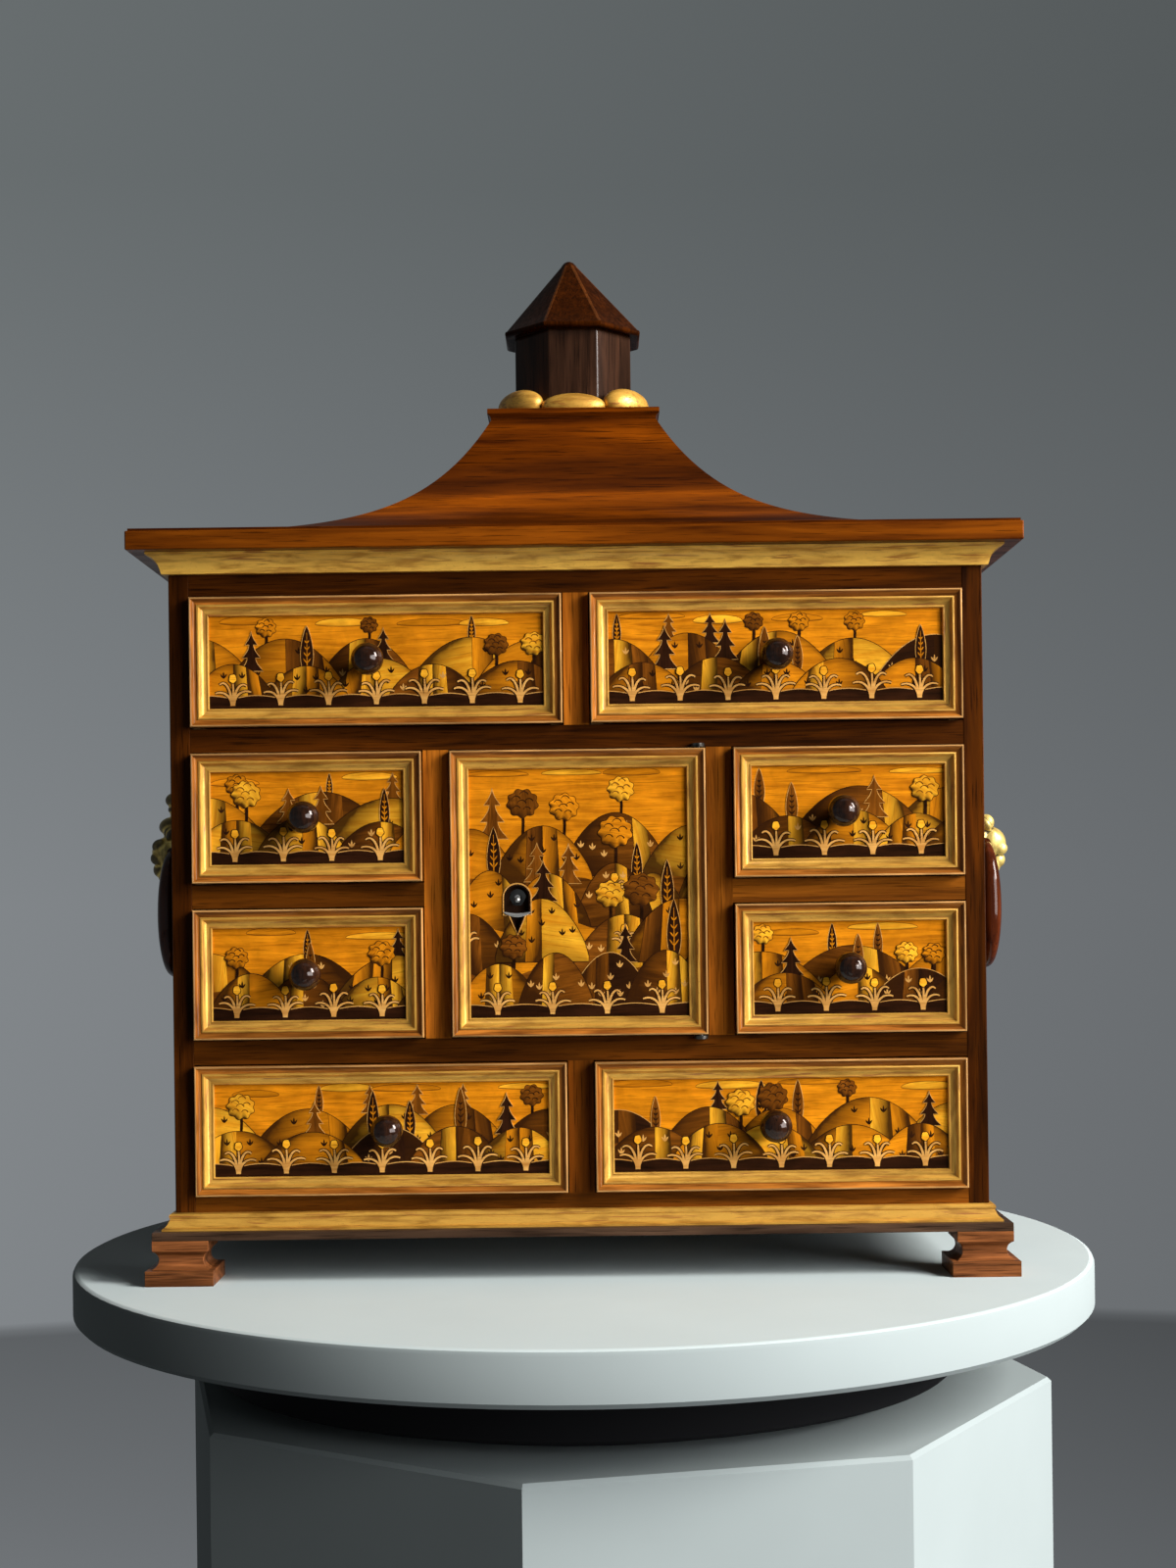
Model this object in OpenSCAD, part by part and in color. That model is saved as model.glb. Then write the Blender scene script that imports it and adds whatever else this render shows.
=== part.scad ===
// Table cabinet with eight drawers, a central door, a pagoda roof and a small turret.
// Millimetres, +Z up, face towards -Y. The origin is under the middle of the whole cabinet, on the table.

/* [Carcass] */
// Width across the two sides
case_w = 480; // [450:5:540]
// Depth from the face to the back
case_d = 260; // [230:5:300]
// Thickness of each side
side_t = 12; // [10:0.5:15]
// Thickness of the bottom board
bottom_t = 9; // [8:0.5:14]
// Thickness of the top board, which shows as the frieze
top_t = 13; // [10:0.5:18]
// Thickness of the two long shelves
shelf_t = 14; // [12:0.5:18]
// Thickness of the two short shelves
short_shelf_t = 14; // [12:0.5:18]
// Thickness of the dividers and of the walls beside the door
wall_t = 15; // [12:0.5:18]
// Thickness of the back panel
back_t = 6; // [4:0.5:9]
// Depth that a board is let into its neighbour
housing = 3; // [2:0.5:4]
// Distance behind the face where a housing starts
housing_stop = 10; // [6:1:20]
// Thickness of the tongue along a wall's top and bottom edges
tongue_t = 6; // [4:0.5:8]

/* [Drawers] */
// Height of every drawer opening
row_h = 78; // [70:1:90]
// Width of the four small drawer openings
small_w = 137; // [120:1:145]
// Gap round each drawer front and round the door
front_gap = 0.8; // [0.5:0.1:1]
// Running gap under each drawer
run_gap = 0.3; // [0.2:0.05:0.5]
// Thickness of a drawer front
front_t = 12; // [11:0.5:15]
// Thickness of a drawer's sides and back
drawer_side_t = 7; // [5:0.5:9]
// Thickness of a drawer's bottom
drawer_bottom_t = 4; // [3:0.5:5]
// Height of a drawer bottom above the lower edge of the sides
drawer_bottom_lift = 5; // [3:0.5:8]
// Depth of the groove that holds a drawer bottom
drawer_groove = 3; // [2:0.5:4]
// Length of a drawer side let into the front
drawer_lap = 8; // [5:0.5:9]
// Free height above the drawer sides
drawer_headroom = 7; // [4:0.5:12]
// Free length behind a closed drawer
drawer_backroom = 12; // [6:1:30]

/* [Frames of the drawers and the door] */
// Width of a frame from its outer edge to the panel
frame_w = 11; // [10:0.5:14]
// Radius of the rounded outer bead
bead_r = 3; // [2.5:0.1:3.2]
// Height of the bead's square part below its rounding
bead_h = 3.2; // [3:0.1:5]
// Height of the gilt slope beside the bead
slope_high = 4; // [3:0.1:5]
// Height of the gilt slope beside the panel
slope_low = 1.2; // [0.6:0.1:2]

/* [Knobs] */
// Radius of the ball
knob_r = 9.5; // [8:0.5:11]
// Reach of the ball in front of the panel
knob_reach = 22; // [21:0.5:26]
// Radius of the neck
knob_neck_r = 5; // [4:0.5:6]
// Radius of the flange on the panel
knob_flange_r = 6.5; // [6:0.5:9]
// Thickness of the flange
knob_flange_t = 1.5; // [1:0.25:2.5]
// Radius of the tenon in the drawer front
tenon_r = 3.5; // [2.5:0.25:3.75]
// Length of the tenon
tenon_l = 9; // [6:0.5:9.5]
// Radial room round the tenon
tenon_fit = 0.05; // [0.02:0.01:0.1]

/* [Door] */
// Thickness of the door panel
door_t = 12; // [10:0.5:12.5]
// Radius of the pivot pins
pivot_r = 1.5; // [1:0.1:1.8]
// Radial room round a pivot pin
pivot_fit = 0.05; // [0.02:0.01:0.1]
// Distance of the pivot axis from the door's right edge
pivot_in = 4; // [3.6:0.1:4.5]
// Distance of the pivot axis in front of the carcass face
pivot_out = 2.2; // [2:0.1:2.6]
// Length of a pivot pin inside the door
pivot_l = 6; // [4:0.5:8]
// Width of a hinge plate
hinge_w = 8; // [7:0.5:9]
// Length of a hinge plate behind the face
hinge_l = 22; // [16:1:30]
// Thickness of a hinge plate
hinge_t = 2; // [1.5:0.25:2.5]
// Height and depth of the door stop
stop_s = 8; // [5:0.5:12]
// Length of the door stop
stop_l = 100; // [60:5:110]
// Gap between the closed door and its stop
stop_gap = 0.3; // [0.2:0.05:0.5]

/* [Lock] */
// Distance of the keyhole from the door's left edge
key_in = 39; // [37:0.5:60]
// Distance of the keyhole below the door's middle
key_drop = 2.5; // [0:0.5:10]
// Half width of the keyhole lining
lining_r = 7.8; // [7:0.1:9]
// Height of the lining's straight part below its round head
lining_leg = 10; // [8:0.5:14]
// Half width of the lining's point where it starts
point_r = 4.6; // [3:0.1:5.5]
// Height of the lining's point
point_h = 11.5; // [8:0.5:14]
// Thickness of the lining
lining_t = 3; // [2:0.25:4]
// Room round the lining in its recess
lining_fit = 0.05; // [0.02:0.01:0.1]
// Radius of the key's bore
key_bore_r = 5; // [4:0.1:6]
// Radius of the drill pin that the key turns on
drill_pin_r = 1.6; // [1.2:0.1:2]
// Distance of the drill pin's tip behind the door's face
drill_pin_back = 3; // [1:0.5:6]
// Width of the lock case
lock_w = 46; // [44:1:60]
// Height of the lock case
lock_h = 40; // [30:1:60]
// Depth of the lock case behind the door
lock_d = 10; // [9:0.5:12]
// Wall of the lock case
lock_wall = 1.5; // [1:0.25:2]
// Distance of the lock case from the door's left edge
lock_in = 3; // [3:0.5:5]
// Length of the bolt
bolt_l = 28; // [22:1:30]
// Height of the bolt
bolt_h = 9; // [6:0.5:14]
// Thickness of the bolt
bolt_t = 4; // [3:0.25:5]
// Room round the bolt in its slot
bolt_fit = 0.3; // [0.2:0.05:0.4]
// Depth of the bolt's mortise in the wall
mortise_d = 7; // [6:0.5:9]

/* [Plinth and feet] */
// Reach of the base board past the carcass
plinth_out = 12; // [11.5:0.5:16]
// Thickness of the base board's edge
base_edge_t = 5; // [4:0.5:8]
// Height of the gilt plinth moulding
plinth_h = 10; // [8:0.5:11]
// Reach of the gilt plinth moulding
plinth_reach = 11; // [10:0.25:11.5]
// Fillets at the thin end and the thick end of the plinth cove
plinth_fillet = 1.5; // [1:0.1:2]
// Height of a foot
foot_h = 26; // [23:0.5:32]
// Height of a foot's base block
foot_base_h = 9; // [6:0.5:11]
// Height of a foot's top block
foot_cap_h = 5.5; // [4:0.5:7]
// Width of a foot's top block
foot_cap_w = 33; // [30:0.5:40]
// Reach of the base block past the top block
foot_base_out = 3.5; // [2:0.25:5]
// Distance that the foot's neck is drawn in from the top block
foot_neck_in = 3.5; // [2:0.25:5]
// Width of each block under the base
block_w = 70; // [50:1:90]
// Depth of each block under the base
block_d = 40; // [30:1:60]
// Height of each block under the base
block_h = 12; // [8:0.5:16]
// Clear distance between the two blocks
block_gap = 56; // [30:1:80]

/* [Cornice and roof] */
// Reach of the top board past the carcass
cornice_out = 21; // [18:0.5:21.5]
// Thickness of the top board's edge
cornice_t = 11; // [8:0.5:16]
// Height of the gilt cornice cove
cove_h = 12; // [10:0.5:14]
// Reach of the gilt cornice cove
cove_reach = 14.3; // [13:0.1:17]
// Fillets at the thin end and the thick end of the cornice cove
cove_fillet = 0.9; // [0.6:0.1:1.5]
// Rise of the pagoda roof
roof_h = 82; // [60:1:110]
// Distance of the roof's foot inside the top board's edge
roof_inset = 1.5; // [0.5:0.5:6]
// Thickness of the roof's edge at its foot
roof_edge_t = 1.5; // [1:0.25:4]
// Thickness of the roof's panels
roof_wall = 8; // [5:0.5:12]
// Width of the roof at its top
neck_w = 102; // [96:1:116]
// Overhang of the cap plate past the roof's top
cap_out = 2.5; // [1.5:0.5:6]
// Thickness of the cap plate
cap_t = 6.5; // [4:0.5:10]

/* [Turret] */
// Width of the turret across its flats
turret_w = 73.5; // [66:0.5:74]
// Height of the turret's walls
turret_h = 53.5; // [40:0.5:70]
// Width of the turret roof across its flats
eave_w = 86; // [80:0.5:100]
// Radius of the rounded eave
eave_r = 2; // [1:0.5:6]
// Height of the turret roof
spire_h = 53; // [45:0.5:80]
// Radius of the four eggs against the turret's front, back and sides
egg_r = 7.8; // [6:0.1:8]
// Length of those four eggs
egg_l = 40; // [30:0.5:40]
// Height of those eggs' middles above the cap plate
egg_lift = 3; // [1:0.25:5]
// Radius of the four eggs at the corners
corner_egg_r = 10; // [8:0.25:11]
// Length of the corner eggs
corner_egg_l = 30; // [24:0.5:32]
// Height of the corner eggs' middles above the cap plate
corner_egg_lift = 5.5; // [3:0.25:7]
// Gap between an egg and the turret
egg_gap = 0.1; // [0.05:0.05:0.3]

/* [Side handles] */
// Height of the rings' axes above the table
handle_z = 256; // [220:1:300]
// Distance of a ring's axis from the carcass side
axis_out = 22; // [21:0.5:26]
// Radius of the bar that turns in the mount
bar_r = 3.5; // [3:0.25:4]
// Radial room round the bar
bar_fit = 0.06; // [0.03:0.01:0.1]
// Width of a ring along its middle line
ring_w = 58; // [54:1:70]
// Height of a ring along its middle line
ring_drop = 76; // [60:1:90]
// Radius of a ring's section at its thickest
ring_thick = 6.5; // [5:0.25:7]
// Radius of a ring's section at the bottom
ring_thin = 4.5; // [4:0.25:5.5]
// Distance that a ring bows outwards at mid height
ring_bow = 0.5; // [0:0.25:3]
// Reach of a mount from the carcass side
mount_reach = 39; // [37:0.5:42]
// Radius of the mount's muzzle
muzzle_r = 12; // [10:0.5:13]
// Length of the muzzle along the bar
muzzle_l = 20; // [16:0.5:21]
// Gap between the muzzle and the ring's shoulders
muzzle_gap = 1.5; // [0.6:0.1:3]
// Radius of the mount's round back plate
plate_r = 20; // [16:0.5:24]
// Thickness of the back plate
plate_t = 4; // [3:0.5:6]
// Radius of the mount's crown
crown_r = 16; // [12:0.5:18]
// Height of the crown's middle above the bar
crown_up = 23; // [21:0.5:28]
// Distance of the crown's middle from the carcass side
crown_out = 13; // [10:0.5:15]
// Radius of the drop under the muzzle
drop_r = 7; // [5:0.5:8]

/* [Hidden] */
glue_line = 0.05;
cut = 1;
$fn = 48;

ROWS = 4;
PLACES = [
    "top_left", "top_right", "upper_left", "upper_right",
    "lower_left", "lower_right", "bottom_left", "bottom_right"
];
// Each knob was set by eye, so it sits this far to the right of its panel's middle
KNOB_SHIFT = [-4, 0, -1, -4, -1, -1, 4, -4];
CASE_NODES = [
    "base_board", "plinth_moulding", "front_feet", "back_feet", "bottom_blocks",
    "side_left", "side_right", "case_bottom", "case_top", "back_panel",
    "upper_shelf", "lower_shelf", "short_shelf_left", "short_shelf_right",
    "divider_top", "divider_bottom", "door_wall_left", "door_wall_right", "door_stop",
    "cornice_moulding", "cornice_board", "roof_panels", "roof_cap",
    "turret_body", "turret_roof", "turret_eggs", "door_hinges",
    "handle_mount_left", "handle_mount_right", "handle_left", "handle_right",
    "door_panel", "door_frame", "keyhole_lining", "lock_case", "lock_bolt"
];

// Levels from the table upwards
base_z = foot_h;
plinth_z = base_z + base_edge_t;
case_z = plinth_z + plinth_h;
row3_z = case_z + bottom_t;
row2_z = row3_z + row_h + shelf_t;
row1_z = row2_z + row_h + short_shelf_t;
row0_z = row1_z + row_h + shelf_t;
ROW_Z = [row0_z, row1_z, row2_z, row3_z];
frieze_z = row0_z + row_h;
case_top_z = frieze_z + top_t;
slab_z = case_top_z + cove_h;
roof_z = slab_z + cornice_t;
cap_z = roof_z + roof_h;
turret_z = cap_z + cap_t;
spire_z = turret_z + turret_h;

// Places across the cabinet and from front to back
face_y = -(case_d - knob_reach) / 2;
back_y = face_y + case_d;
inner_back_y = back_y - back_t;
inner_w = case_w - 2 * side_t;
wide_w = (inner_w - wall_t) / 2;
door_open_w = inner_w - 2 * small_w - 2 * wall_t;
wall_x = door_open_w / 2 + wall_t / 2;
roof_y = (face_y - cornice_out + back_y) / 2;
handle_y = (face_y + back_y) / 2;

// The door and its lock
door_open_h = 2 * row_h + short_shelf_t;
door_w = door_open_w - 2 * front_gap;
door_h = door_open_h - 2 * front_gap;
door_mid_z = row2_z + door_open_h / 2;
pivot_x = door_w / 2 - pivot_in;
pivot_y = face_y - pivot_out;
key_x = -door_w / 2 + key_in;
key_z = door_mid_z - key_drop;
door_back_y = face_y + door_t;
lock_x = -door_w / 2 + lock_in;
bolt_y = door_back_y + (lock_d - lock_wall - bolt_t) / 2;
frame_out = bead_h + bead_r;
drawer_side_h = row_h - run_gap - drawer_headroom;

// A drawer's place, in the order of PLACES
function drawer_row(i) = floor(i / 2);
function drawer_side(i) = (i % 2 == 0) ? -1 : 1;
function is_wide(i) = drawer_row(i) == 0 || drawer_row(i) == ROWS - 1;
function opening_w(i) = is_wide(i) ? wide_w : small_w;
function opening_x(i) = drawer_side(i) * (is_wide(i) ? (wall_t + wide_w) / 2 : (inner_w - small_w) / 2);
function opening_z(i) = ROW_Z[drawer_row(i)];

// The roof's curve: its height, as a share of the rise, at a share u of the way from the foot to the top
roof_steps = 20;
roof_sweep = 0.44;
sweep_power = 2;
neck_power = 6;
function roof_rise(u) = roof_sweep * pow(u, sweep_power) + (1 - roof_sweep) * pow(u, neck_power);

// The turret's sides, the turn that puts a flat to the front, and the steps of its eave's rounding and of its eggs
turret_sides = 8;
flat_turn = 180 / turret_sides;
lip_step = 30;
lip_end = 60;
egg_steps = 12;

// The mount's arm above the bar, and the part of the drop that sinks into the muzzle
arm_up = muzzle_r / 3;
drop_down = muzzle_r + drop_r / 4;

// Colours
rosewood = "#3b1f14";
walnut = "#7a3f1b";
gilt = "#b98a3a";
amber = "#b5691f";
ebony = "#1c1210";
steel = "#9a9a98";
pine = "#a98a63";

// A box from its lowest corner to its highest corner
module box(low, high) {
    translate(low) cube(high - low);
}

// A board that lies level between the sides, with a stopped tongue in each of two neighbours
module level_board(x_low, x_high, z, t, tongue_left, tongue_right) {
    box([x_low, face_y, z], [x_high, inner_back_y, z + t]);
    box(
        [x_low - tongue_left, face_y + housing_stop, z],
        [x_high + tongue_right, inner_back_y, z + t]
    );
}

// The tongue of an upright wall, longer at the back by over when it cuts a groove
module wall_tongue(x, z_low, z_high, over = 0) {
    box(
        [x - tongue_t / 2, face_y + housing_stop, z_low - housing],
        [x + tongue_t / 2, inner_back_y + over, z_high + housing]
    );
}

// An upright wall between two level boards
module upright(x, z_low, z_high) {
    box([x - wall_t / 2, face_y, z_low], [x + wall_t / 2, inner_back_y, z_high]);
    wall_tongue(x, z_low, z_high);
}

// The grooves that all the upright walls need in the boards above and below
module wall_grooves() {
    wall_tongue(0, row0_z, frieze_z, cut);
    wall_tongue(0, row3_z, row3_z + row_h, cut);
    for (s = [-1, 1])
        wall_tongue(s * wall_x, row2_z, row2_z + door_open_h, cut);
}

// The grooves that the level boards and the back panel need in a side
module side_grooves(s) {
    boards = [
        [case_z, bottom_t], [row2_z - shelf_t, shelf_t], [row1_z - short_shelf_t, short_shelf_t],
        [row0_z - shelf_t, shelf_t], [frieze_z, top_t]
    ];
    near = s * inner_w / 2;
    far = s * (inner_w / 2 + housing);
    for (b = boards)
        box(
            [min(near, far), face_y + housing_stop, b[0]],
            [max(near, far), inner_back_y + cut, b[0] + b[1]]
        );
    box([min(near, far), inner_back_y, case_z], [max(near, far), back_y + cut, case_top_z]);
}

module side_board(s) {
    near = s * inner_w / 2;
    far = s * case_w / 2;
    difference() {
        box([min(near, far), face_y, case_z], [max(near, far), back_y, case_top_z]);
        side_grooves(s);
    }
}

module side_left() {
    color(rosewood) side_board(-1);
}

module side_right() {
    color(rosewood) side_board(1);
}

module case_bottom() {
    color(rosewood) difference() {
        level_board(-inner_w / 2, inner_w / 2, case_z, bottom_t, housing, housing);
        wall_grooves();
    }
}

module case_top() {
    color(rosewood) difference() {
        level_board(-inner_w / 2, inner_w / 2, frieze_z, top_t, housing, housing);
        wall_grooves();
    }
}

module back_panel() {
    color(pine) box(
        [-inner_w / 2 - housing, inner_back_y, case_z],
        [inner_w / 2 + housing, back_y, case_top_z]
    );
}

// The recess of a hinge plate, seen from above
module hinge_outline(front) {
    translate([pivot_x - hinge_w / 2, front]) square([hinge_w, face_y + hinge_l - front]);
}

module upper_shelf() {
    color(rosewood) difference() {
        level_board(-inner_w / 2, inner_w / 2, row0_z - shelf_t, shelf_t, housing, housing);
        wall_grooves();
        translate([0, 0, row0_z - shelf_t - cut]) linear_extrude(hinge_t + cut) hinge_outline(face_y - cut);
    }
}

module lower_shelf() {
    color(rosewood) difference() {
        level_board(-inner_w / 2, inner_w / 2, row2_z - shelf_t, shelf_t, housing, housing);
        wall_grooves();
        translate([0, 0, row2_z - hinge_t]) linear_extrude(hinge_t + cut) hinge_outline(face_y - cut);
    }
}

// A short shelf between a side and the wall beside the door
module short_shelf(s) {
    near = s * (wall_x + wall_t / 2);
    far = s * inner_w / 2;
    level_board(min(near, far), max(near, far), row1_z - short_shelf_t, short_shelf_t, housing, housing);
}

module short_shelf_left() {
    color(rosewood) short_shelf(-1);
}

module short_shelf_right() {
    color(rosewood) short_shelf(1);
}

module divider_top() {
    color(rosewood) upright(0, row0_z, frieze_z);
}

module divider_bottom() {
    color(rosewood) upright(0, row3_z, row3_z + row_h);
}

// A wall beside the door, grooved for its short shelf
module door_wall(s) {
    outer = s * (wall_x + wall_t / 2);
    difference() {
        upright(s * wall_x, row2_z, row2_z + door_open_h);
        box(
            [min(outer + s * cut, outer - s * housing), face_y + housing_stop, row1_z - short_shelf_t],
            [max(outer + s * cut, outer - s * housing), inner_back_y + cut, row1_z]
        );
    }
}

module door_wall_left() {
    mouth_x = -door_open_w / 2;
    color(rosewood) difference() {
        door_wall(-1);
        box(
            [mouth_x - mortise_d, bolt_y - bolt_fit, key_z - bolt_h / 2 - bolt_fit],
            [mouth_x + cut, bolt_y + bolt_t + bolt_fit, key_z + bolt_h / 2 + bolt_fit]
        );
    }
}

module door_wall_right() {
    color(rosewood) door_wall(1);
}

module door_stop() {
    color(pine) box(
        [-door_open_w / 2, door_back_y + stop_gap, row2_z],
        [-door_open_w / 2 + stop_l, door_back_y + stop_gap + stop_s, row2_z + stop_s]
    );
}

// A cove in section: x runs out from the carcass, y runs from the thin end to the thick end
module cove_section(reach, h, fillet) {
    r = h - 2 * fillet;
    difference() {
        square([reach, h]);
        translate([reach, fillet]) circle(r);
        translate([reach - r, -cut]) square([r + cut, fillet + cut]);
    }
}

// The front length and the two side lengths of a moulding round the carcass, mitred at the front corners
module moulding_lengths(reach, h, z) {
    run = case_w + 2 * reach;
    intersection() {
        translate([-run / 2, face_y, z]) rotate([90, 0, 90]) linear_extrude(run) mirror([1, 0]) children();
        translate([0, face_y, z]) linear_extrude(h)
            polygon([
                [-case_w / 2, 0], [case_w / 2, 0],
                [case_w / 2 + reach, -reach], [-case_w / 2 - reach, -reach]
            ]);
    }
    for (s = [0, 1]) mirror([s, 0, 0]) intersection() {
        translate([case_w / 2, back_y, z]) rotate([90, 0, 0]) linear_extrude(case_d + reach) children();
        translate([case_w / 2, 0, z]) linear_extrude(h)
            polygon([
                [0, back_y], [reach, back_y],
                [reach, face_y - reach + glue_line], [0, face_y + glue_line]
            ]);
    }
}

module plinth_moulding() {
    color(gilt) moulding_lengths(plinth_reach, plinth_h, plinth_z)
        translate([0, plinth_h]) mirror([0, 1]) cove_section(plinth_reach, plinth_h, plinth_fillet);
}

module base_board() {
    color(ebony) union() {
        box(
            [-case_w / 2 - plinth_out, face_y - plinth_out, base_z],
            [case_w / 2 + plinth_out, back_y, plinth_z]
        );
        box([-case_w / 2, face_y, base_z], [case_w / 2, back_y, case_z]);
    }
}

// One face of a foot, drawn in to a coved neck between the top block and the base block
module foot_section() {
    base_w = foot_cap_w + 2 * foot_base_out;
    neck_h = foot_h - foot_base_h - foot_cap_h;
    neck_half = foot_cap_w / 2 - foot_neck_in;
    difference() {
        translate([-base_w / 2, 0]) square([base_w, foot_h]);
        for (s = [-1, 1]) {
            translate([s * (neck_half + neck_h / 2), foot_base_h + neck_h / 2]) circle(neck_h / 2);
            translate([s * (neck_half + neck_h) - neck_h / 2, foot_base_h]) square([neck_h, neck_h]);
            translate([s * (foot_cap_w / 2 + base_w / 2) - base_w / 2, foot_base_h])
                square([base_w, foot_h]);
        }
    }
}

module foot() {
    base_w = foot_cap_w + 2 * foot_base_out;
    intersection() {
        translate([0, base_w / 2, 0]) rotate([90, 0, 0]) linear_extrude(base_w) foot_section();
        translate([-base_w / 2, 0, 0]) rotate([90, 0, 90]) linear_extrude(base_w) foot_section();
    }
}

module feet(y) {
    x = case_w / 2 + plinth_out - foot_cap_w / 2;
    for (s = [-1, 1]) translate([s * x, y, 0]) foot();
}

module front_feet() {
    color(ebony) feet(face_y - plinth_out + foot_cap_w / 2);
}

module back_feet() {
    color(ebony) feet(back_y - foot_cap_w / 2 - foot_base_out);
}

module bottom_blocks() {
    color(pine) for (s = [-1, 1])
        translate([s * (block_gap + block_w) / 2 - block_w / 2, handle_y - block_d / 2, base_z - block_h])
            cube([block_w, block_d, block_h]);
}

module cornice_moulding() {
    color(gilt) moulding_lengths(cove_reach, cove_h, case_top_z)
        cove_section(cove_reach, cove_h, cove_fillet);
}

module cornice_board() {
    color(walnut) union() {
        box([-case_w / 2, face_y, case_top_z], [case_w / 2, back_y, roof_z]);
        box(
            [-case_w / 2 - cornice_out, face_y - cornice_out, slab_z],
            [case_w / 2 + cornice_out, back_y, roof_z]
        );
    }
}

// The roof's outline across one direction, from half width foot at the eave to half width top at the cap
module roof_outline(foot, top, drop) {
    slope = [
        for (i = [0 : roof_steps])
            let (u = i / roof_steps)
            [foot + (top - foot) * u, roof_edge_t + (roof_h - roof_edge_t) * roof_rise(u) - drop]
    ];
    back = [for (i = [roof_steps : -1 : 0]) [-slope[i][0], slope[i][1]]];
    polygon(concat([[-foot, -drop], [foot, -drop]], slope, back));
}

// The roof as one block, lowered by drop
module roof_block(foot_x, foot_y, drop) {
    intersection() {
        translate([0, foot_y + cut, 0]) rotate([90, 0, 0]) linear_extrude(2 * (foot_y + cut))
            roof_outline(foot_x, neck_w / 2, drop);
        translate([-foot_x - cut, 0, 0]) rotate([90, 0, 90]) linear_extrude(2 * (foot_x + cut))
            roof_outline(foot_y, neck_w / 2, drop);
    }
}

// Four hollow slopes, mitred along the hips
module roof_panels() {
    foot_x = case_w / 2 + cornice_out - roof_inset;
    foot_y = (case_d + cornice_out) / 2 - roof_inset;
    share = roof_wall / (foot_y - neck_w / 2);
    top_x = neck_w / 2 - share * (foot_x - neck_w / 2);
    top_y = neck_w / 2 - roof_wall;
    color(walnut) translate([0, roof_y, roof_z]) for (s = [-1, 1]) {
        intersection() {
            difference() {
                roof_block(foot_x, foot_y, 0);
                roof_block(foot_x, foot_y, roof_wall);
            }
            translate([0, s * glue_line, 0]) linear_extrude(roof_h)
                polygon([
                    [-foot_x, s * foot_y], [foot_x, s * foot_y],
                    [top_x, s * top_y], [-top_x, s * top_y]
                ]);
        }
        intersection() {
            difference() {
                roof_block(foot_x, foot_y, 0);
                roof_block(foot_x, foot_y, roof_wall);
            }
            translate([s * glue_line, 0, 0]) linear_extrude(roof_h)
                polygon([
                    [s * foot_x, -foot_y], [s * foot_x, foot_y],
                    [s * top_x, top_y], [s * top_x, -top_y]
                ]);
        }
    }
}

module roof_cap() {
    half = neck_w / 2 + cap_out;
    color(walnut) translate([0, roof_y, 0]) box([-half, -half, cap_z], [half, half, turret_z]);
}

// An eight-sided prism with flats to the front, by its width across flats
module octagon(across, h) {
    rotate(flat_turn) cylinder(h = h, r = across / 2 / cos(flat_turn), $fn = turret_sides);
}

module turret_body() {
    color(ebony) translate([0, roof_y, turret_z]) octagon(turret_w, turret_h);
}

// The spire's profile from its axis: flat below, rounded at the eave, straight to the point
module turret_roof() {
    corner = 1 / cos(flat_turn);
    lip = [
        for (a = [-90 : lip_step : lip_end])
            [corner * (eave_w / 2 - eave_r + eave_r * cos(a)), eave_r + eave_r * sin(a)]
    ];
    color(walnut) translate([0, roof_y, spire_z]) rotate(flat_turn)
        rotate_extrude($fn = turret_sides) polygon(concat([[0, 0]], lip, [[0, spire_h]]));
}

// Half an egg lying on the cap plate, its length along X
module egg(r, l, lift) {
    half = [for (i = [0 : egg_steps]) let (a = 180 * i / egg_steps) [r * sin(a), -l / 2 * cos(a)]];
    intersection() {
        translate([0, 0, lift]) rotate([0, 90, 0]) rotate_extrude() polygon(half);
        translate([-l, -l, 0]) cube(2 * l);
    }
}

module turret_eggs() {
    color(gilt) translate([0, roof_y, turret_z]) for (i = [0 : 3]) {
        rotate(90 * i) translate([0, -turret_w / 2 - egg_r - egg_gap, 0]) egg(egg_r, egg_l, egg_lift);
        rotate(90 * i + 45) translate([0, -turret_w / 2 - corner_egg_r - egg_gap, 0])
            egg(corner_egg_r, corner_egg_l, corner_egg_lift);
    }
}

// A hinge plate let into a shelf, its front end round the pivot pin
module hinge_plate() {
    linear_extrude(hinge_t) {
        hinge_outline(pivot_y);
        translate([pivot_x, pivot_y]) circle(hinge_w / 2);
    }
}

module door_hinges() {
    pin_l = pivot_l + front_gap + hinge_t;
    color(steel) {
        translate([0, 0, row0_z - shelf_t]) hinge_plate();
        translate([pivot_x, pivot_y, row0_z - shelf_t + hinge_t - pin_l]) cylinder(h = pin_l, r = pivot_r);
        translate([0, 0, row2_z - hinge_t]) hinge_plate();
        translate([pivot_x, pivot_y, row2_z - hinge_t]) cylinder(h = pin_l, r = pivot_r);
    }
}

// A frame in section: x runs in from the outer edge, y runs out from the face
module frame_section() {
    square([2 * bead_r, bead_h]);
    translate([bead_r, bead_h]) circle(bead_r);
    polygon([[2 * bead_r - cut, 0], [frame_w, 0], [frame_w, slope_low], [2 * bead_r - cut, slope_high]]);
}

// One length of a frame along X, its outer edge at z = 0, with both ends mitred
module frame_length(l) {
    intersection() {
        rotate([90, 0, 90]) linear_extrude(l) rotate(90) frame_section();
        rotate([90, 0, 0]) linear_extrude(frame_out)
            polygon([
                [glue_line, 0], [l - glue_line, 0],
                [l - frame_w - glue_line, frame_w], [frame_w + glue_line, frame_w]
            ]);
    }
}

// The four lengths of a frame round a front of width w and height h
module frame(w, h) {
    for (i = [0 : 3]) {
        l = (i % 2 == 0) ? w : h;
        reach = (i % 2 == 0) ? h / 2 : w / 2;
        rotate([0, 90 * i, 0]) translate([-l / 2, 0, -reach]) frame_length(l);
    }
}

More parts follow.
